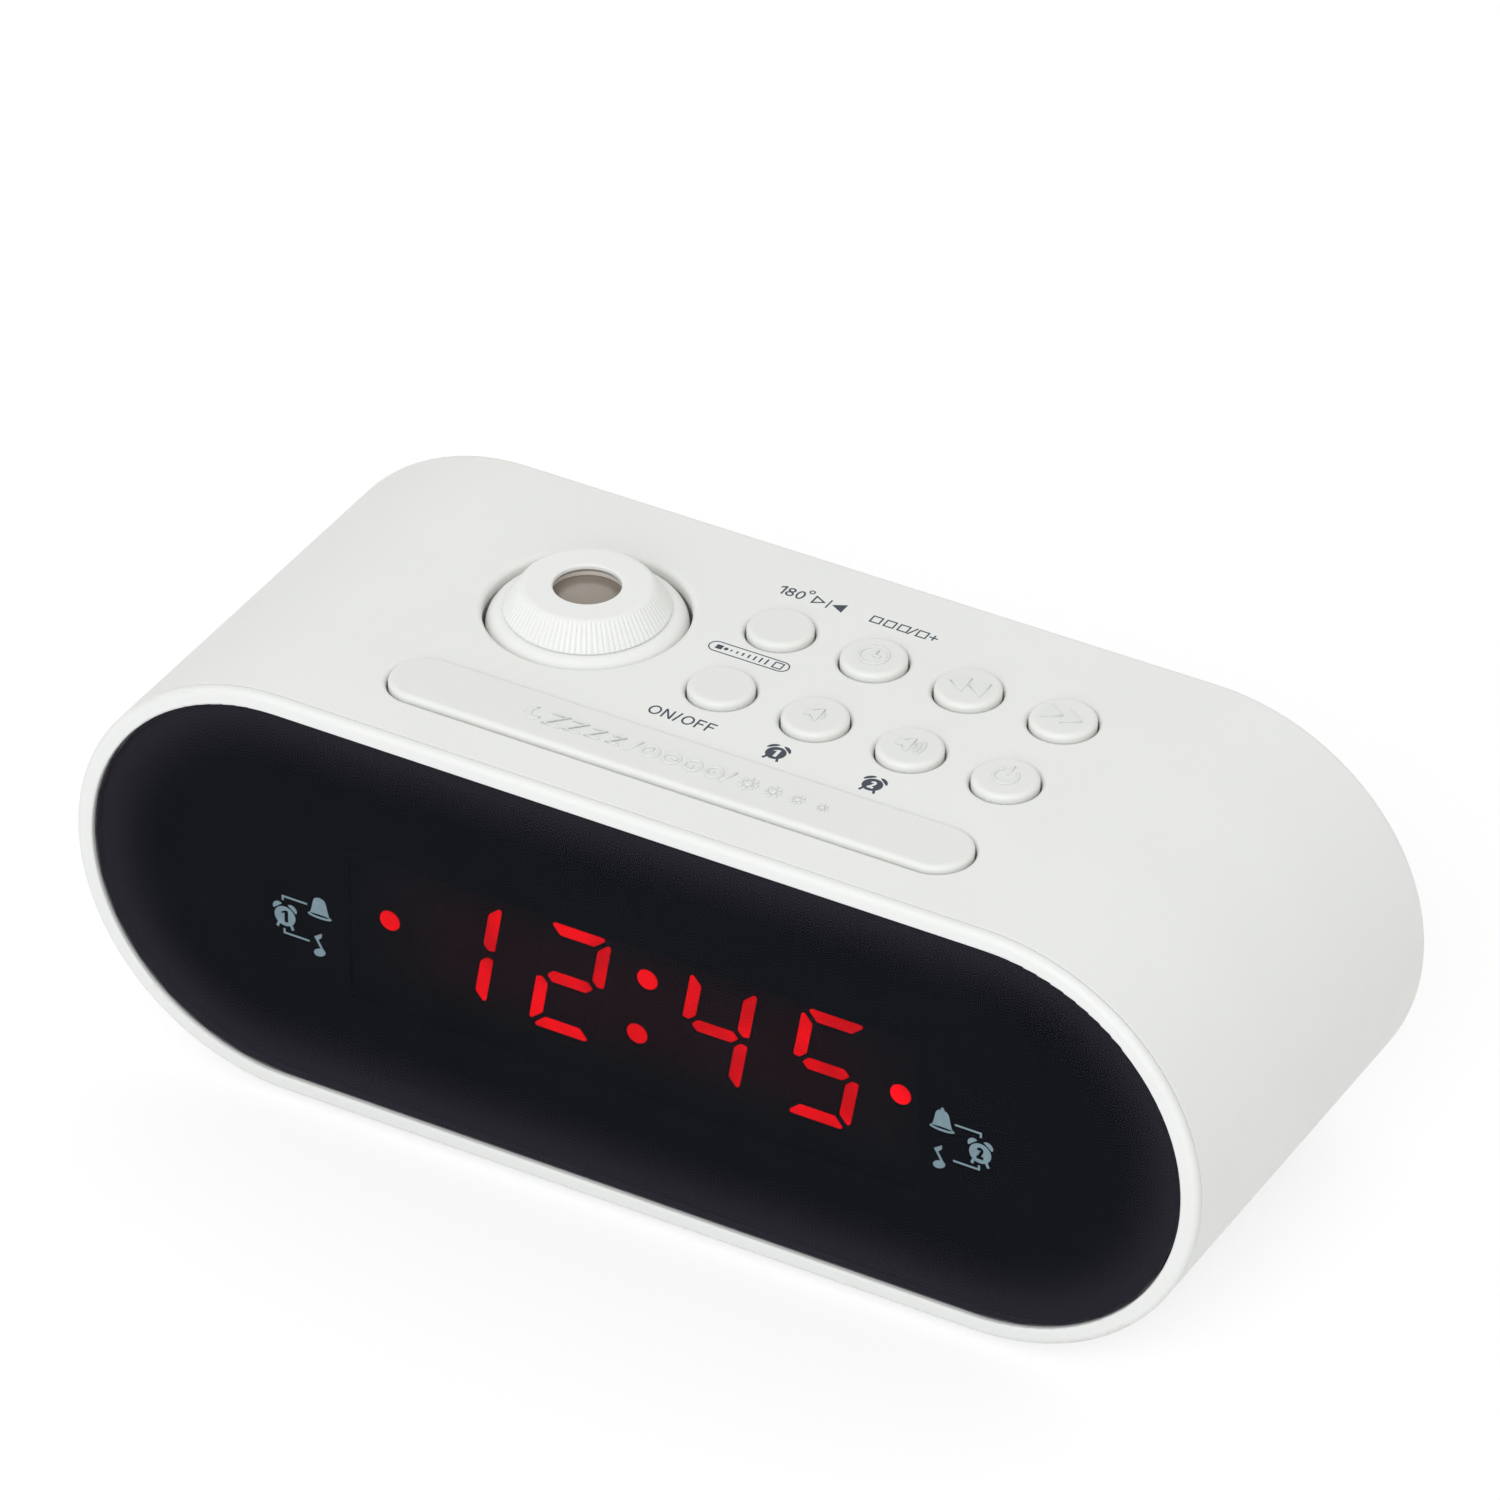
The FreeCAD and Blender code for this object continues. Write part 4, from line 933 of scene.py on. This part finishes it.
class CLOCK_OT_keys(Operator):
    """Finishes the eight keys and raises their moulded signs"""

    bl_idname = "clock.keys"
    bl_label = "Keys"

    def execute(self, context):
        colours, marks = context.scene.clock_colours, context.scene.clock_marks
        white = moulded_white("key_plastic", tuple(colours.keys), 0.42)
        keys = [name for name in NODES if name.startswith("key_") and "board" not in name]
        wear(white, *[name for name in keys if name != "key_switches"])
        for key, shapes in self.signs(marks.line).items():
            low, high = corners(key)
            face = top_face((low.x + high.x) / 2, (low.y + high.y) / 2, high.z)
            mark(key + "_sign", key, white, face, shapes, marks.relief_height,
                 marks.relief_edge)
        return {"FINISHED"}

    @staticmethod
    def signs(line):
        """The sign of each key, about the key's middle."""
        tip, base, half_high, pitch = -3.3, -0.25, 1.95, 3.35
        wedge = [([[(tip, 0.0), (base, -half_high), (base, half_high)]], [])]
        wedges_back = wedge + moved(wedge, pitch, 0)
        wedges_forward = [(placed(solid, 0, 0, -1, 1), []) for solid, _ in wedges_back]
        hands = [stroke([(0, 1.5), (0, -0.1), (1.15, -0.1)], line)]
        open_ring = stroke(arc(0, 0, 1.95, 125, 415, 30), line)
        bar = rectangle(-line / 2, line / 2, 0.4, 2.9)
        return {
            "key_clock": [ring(0, 0, 2.35, line), (hands, [])],
            "key_back": wedges_back,
            "key_forward": wedges_forward,
            "key_volume_down": moved(speaker_sign(1), 0.3, 0),
            "key_volume_up": moved(speaker_sign(3), -0.3, 0),
            "key_power": [([open_ring], []), ([bar], [])],
        }


class CLOCK_OT_snooze_bar(Operator):
    """Finishes the long bar and raises its row of rest, timer and light signs"""

    bl_idname = "clock.snooze_bar"
    bl_label = "Snooze bar"
    row_middle = -22.75
    moon_place = -24.9
    zigzags_start, zigzag_pitch = -20.9, 3.55
    zigzag_sizes = (1.45, 1.3, 1.15, 1.0)
    slash_places = (-7.0, 9.6)
    slash_half_wide, slash_half_high = 0.7, 1.65
    timers_start, timer_pitch = -4.1, 3.75
    suns_start, sun_pitch, sun_shrink = 13.2, 4.3, 0.14

    def execute(self, context):
        colours, marks = context.scene.clock_colours, context.scene.clock_marks
        white = moulded_white("bar_plastic", tuple(colours.keys), 0.44)
        wear(white, "snooze_bar")
        face = top_face(0, 0, corners("snooze_bar")[1].z)
        mark("snooze_bar_signs", "snooze_bar", white, face, self.row(marks.line * 0.9),
             marks.relief_height, marks.relief_edge * 0.9)
        return {"FINISHED"}

    def row(self, line):
        """Moon and zigzags, a slash, timers, a slash, and suns that shrink."""
        v = self.row_middle
        parts = moved(moon_sign(), self.moon_place, v)
        for step, size in enumerate(self.zigzag_sizes):
            u = self.zigzags_start + self.zigzag_pitch * step
            parts += moved(zigzag_sign(size, line), u, v)
        across, up = self.slash_half_wide, self.slash_half_high
        slash = stroke([(-across, -up), (across, up)], line)
        for u in self.slash_places:
            parts += moved([([slash], [])], u, v)
        for step in range(4):
            parts += moved(timer_sign(0.25 * step, line), self.timers_start + self.timer_pitch * step, v)
        for step in range(4):
            size = 1.0 - self.sun_shrink * step
            parts += moved(sun_sign(0.66, 1.65, line), self.suns_start + self.sun_pitch * step, v, size)
        return parts


class CLOCK_OT_projector(Operator):
    """Finishes the projector head, focus ring, barrel, lenses and what is inside"""

    bl_idname = "clock.projector"
    bl_label = "Projector"

    def execute(self, context):
        colours = context.scene.clock_colours
        # The lighter white is painted light that offsets the shade in the ribs
        white = moulded_white("projector_plastic_painted_lighter", tuple(colours.projector), 0.42)
        wear(white, "projector_head", "focus_ring")
        wear(matte_plastic("barrel_plastic", tuple(colours.barrel), 0.5), "lens_barrel")
        wear(matte_plastic("inner_plastic", tuple(colours.inner), 0.55), "projector_socket", "head_base")
        wear(clear_plastic("clear_optics", (0.93, 0.92, 0.90), 0.02), "condenser_lens")
        wear(clear_plastic("milky_optics", (0.54, 0.47, 0.39), 0.05, clear=0.5), "objective_lens")
        wear(slide_glass(), "lcd_slide")
        lamp = Finish("lamp_body", (0.55, 0.01, 0.01), 0.2)
        wear(lamp.mottle(1.0, 0.2).material, "projector_led")
        return {"FINISHED"}


class CLOCK_OT_inner_parts(Operator):
    """Finishes the boards, screws, cells, contacts, capacitors and speaker"""

    bl_idname = "clock.inner_parts"
    bl_label = "Inner parts"

    def execute(self, context):
        steel = bare_metal("zinc_plate", (0.56, 0.57, 0.60), 0.32)
        nickel = bare_metal("nickel_sheet", (0.62, 0.60, 0.56), 0.26, (1.0, 6.0, 1.0))
        wear_slot(steel, "screw_steel")
        wear_slot(nickel, "contact_metal")
        wear_slot(solder_mask(), "circuit_board")
        black = matte_plastic("black_plastic", tuple(context.scene.clock_colours.black), 0.5)
        wear(black, "main_chip", "dc_jack", "key_switches")
        wear(bare_metal("aluminium_can", (0.68, 0.69, 0.71), 0.35), "capacitors")
        wear(cell_jacket(), "battery_cells")
        wear(matte_plastic("painted_steel", (0.02, 0.02, 0.021), 0.4), "speaker_frame")
        wear(matte_plastic("ferrite", (0.035, 0.035, 0.037), 0.7, 0.03), "speaker_magnet")
        wear(matte_plastic("cone_paper", (0.016, 0.016, 0.016), 0.9, 0.05), "speaker_cone")
        return {"FINISHED"}


class CLOCK_OT_studio(Operator):
    """Lays the floor, sets the lights and the world, and places the camera"""

    bl_idname = "clock.studio"
    bl_label = "Studio"
    aim = (-5.257, 10.414, 57.427)
    lamp_size = 1.1
    lamp_distance = 1.5
    lamp_azimuth = 10.0
    lamp_elevation = 33.0
    lamp_tint = (0.97, 1.0, 1.06)
    floor_grey = 0.85
    floor_grey_seen = 0.35
    floor_lift = 0.70
    sensor_width = 36.0

    def execute(self, context):
        studio = context.scene.clock_studio
        scene = context.scene
        scene.view_settings.view_transform = "Standard"
        self.floor(studio)
        self.world(scene, studio)
        self.soft_box(studio)
        self.camera(scene, studio)
        return {"FINISHED"}

    @staticmethod
    def seen_directly(nodes, links):
        """1 for a ray that shows the backdrop itself: straight, in a reflection or through glass."""
        path = nodes.new("ShaderNodeLightPath")
        total = path.outputs["Is Camera Ray"]
        for name in ("Is Glossy Ray", "Is Transmission Ray"):
            added = nodes.new("ShaderNodeMath")
            added.operation = "MAXIMUM"
            links.new(total, added.inputs[0])
            links.new(path.outputs[name], added.inputs[1])
            total = added.outputs[0]
        return total

    def floor(self, studio):
        """A pale floor that shows white and keeps the soft shadow."""
        half = studio.floor_size / 2
        mesh = bpy.data.meshes.new("studio_floor")
        mesh.from_pydata([(-half, -half, 0), (half, -half, 0), (half, half, 0), (-half, half, 0)],
                         [], [(0, 1, 2, 3)])
        material = bpy.data.materials.new("studio_floor")
        material.use_nodes = True
        nodes, links = material.node_tree.nodes, material.node_tree.links
        shader = nodes["Principled BSDF"]
        seen = self.seen_directly(nodes, links)
        grey = nodes.new("ShaderNodeMapRange")
        grey.inputs["To Min"].default_value = self.floor_grey
        grey.inputs["To Max"].default_value = self.floor_grey_seen
        links.new(seen, grey.inputs["Value"])
        links.new(grey.outputs["Result"], shader.inputs["Base Color"])
        shader.inputs["Roughness"].default_value = 0.9
        shader.inputs["Specular IOR Level"].default_value = 0.0
        shader.inputs["Emission Color"].default_value = (1.0, 1.0, 1.0, 1.0)
        lift = nodes.new("ShaderNodeMath")
        lift.operation = "MULTIPLY"
        lift.inputs[1].default_value = self.floor_lift
        links.new(seen, lift.inputs[0])
        links.new(lift.outputs[0], shader.inputs["Emission Strength"])
        mesh.materials.append(material)
        floor = bpy.data.objects.new("studio_floor", mesh)
        bpy.context.scene.collection.objects.link(floor)

    def world(self, scene, studio):
        """Even white light, seen as plain white."""
        scene.world = scene.world or bpy.data.worlds.new("studio_world")
        scene.world.use_nodes = True
        nodes, links = scene.world.node_tree.nodes, scene.world.node_tree.links
        background = nodes["Background"]
        background.inputs["Color"].default_value = (1.0, 1.0, 1.0, 1.0)
        level = nodes.new("ShaderNodeMapRange")
        level.inputs["To Min"].default_value = studio.ambient
        level.inputs["To Max"].default_value = 1.0
        links.new(self.seen_directly(nodes, links), level.inputs["Value"])
        links.new(level.outputs["Result"], background.inputs["Strength"])

    def soft_box(self, studio):
        """One large lamp to the right of the front, above the clock."""
        light = bpy.data.lights.new("soft_box", "AREA")
        light.shape = "SQUARE"
        light.size = self.lamp_size
        light.energy = studio.soft_box
        light.color = self.lamp_tint
        lamp = bpy.data.objects.new("soft_box", light)
        bpy.context.scene.collection.objects.link(lamp)
        azimuth, elevation = math.radians(self.lamp_azimuth), math.radians(self.lamp_elevation)
        out = self.away(azimuth, elevation)
        lamp.location = Vector(self.aim) * MM + out * self.lamp_distance
        lamp.rotation_euler = (-out).to_track_quat("-Z", "Y").to_euler()

    @staticmethod
    def away(azimuth, elevation):
        """The direction from the clock towards an azimuth and elevation."""
        level = math.cos(elevation)
        return Vector((math.sin(azimuth) * level, -math.cos(azimuth) * level, math.sin(elevation)))

    def camera(self, scene, studio):
        """The long lens that looks down on the clock from the right of its front."""
        data = bpy.data.cameras.new("camera")
        data.lens = studio.focal_length
        data.sensor_width = self.sensor_width
        camera = bpy.data.objects.new("camera", data)
        scene.collection.objects.link(camera)
        out = self.away(studio.azimuth, studio.elevation)
        camera.location = Vector(self.aim) * MM + out * studio.distance
        camera.rotation_mode = "QUATERNION"
        look = (-out).to_track_quat("-Z", "Y")
        camera.rotation_quaternion = look @ Quaternion((0, 0, 1), studio.roll)
        scene.camera = camera


OPERATORS = (
    CLOCK_OT_housing,
    CLOCK_OT_display,
    CLOCK_OT_panel_icons,
    CLOCK_OT_top_labels,
    CLOCK_OT_keys,
    CLOCK_OT_snooze_bar,
    CLOCK_OT_projector,
    CLOCK_OT_inner_parts,
    CLOCK_OT_studio,
)


class CLOCK_PT_sidebar(Panel):
    """Lists the clock's settings and pieces"""

    bl_idname = "CLOCK_PT_sidebar"
    bl_label = "Projection alarm clock"
    bl_space_type = "VIEW_3D"
    bl_region_type = "UI"
    bl_category = "Clock"

    def draw(self, context):
        scene = context.scene
        for group in (scene.clock_colours, scene.clock_marks, scene.clock_studio):
            box = self.layout.box()
            for name in group.bl_rna.properties.keys():
                if name not in ("rna_type", "name"):
                    box.prop(group, name)
        for operator in OPERATORS:
            self.layout.operator(operator.bl_idname)


CLASSES = (ClockColours, ClockMarks, ClockStudio, *OPERATORS, CLOCK_PT_sidebar)


def register():
    """Makes the settings, operators and panel known."""
    for cls in CLASSES:
        bpy.utils.register_class(cls)
    bpy.types.Scene.clock_colours = PointerProperty(type=ClockColours)
    bpy.types.Scene.clock_marks = PointerProperty(type=ClockMarks)
    bpy.types.Scene.clock_studio = PointerProperty(type=ClockStudio)


def unregister():
    """Takes them away again."""
    del bpy.types.Scene.clock_studio
    del bpy.types.Scene.clock_marks
    del bpy.types.Scene.clock_colours
    for cls in reversed(CLASSES):
        bpy.utils.unregister_class(cls)


def main():
    """Builds the looks."""
    register()
    for operator in OPERATORS:
        group, name = operator.bl_idname.split(".")
        getattr(getattr(bpy.ops, group), name)()


if __name__ == "__main__":
    main()
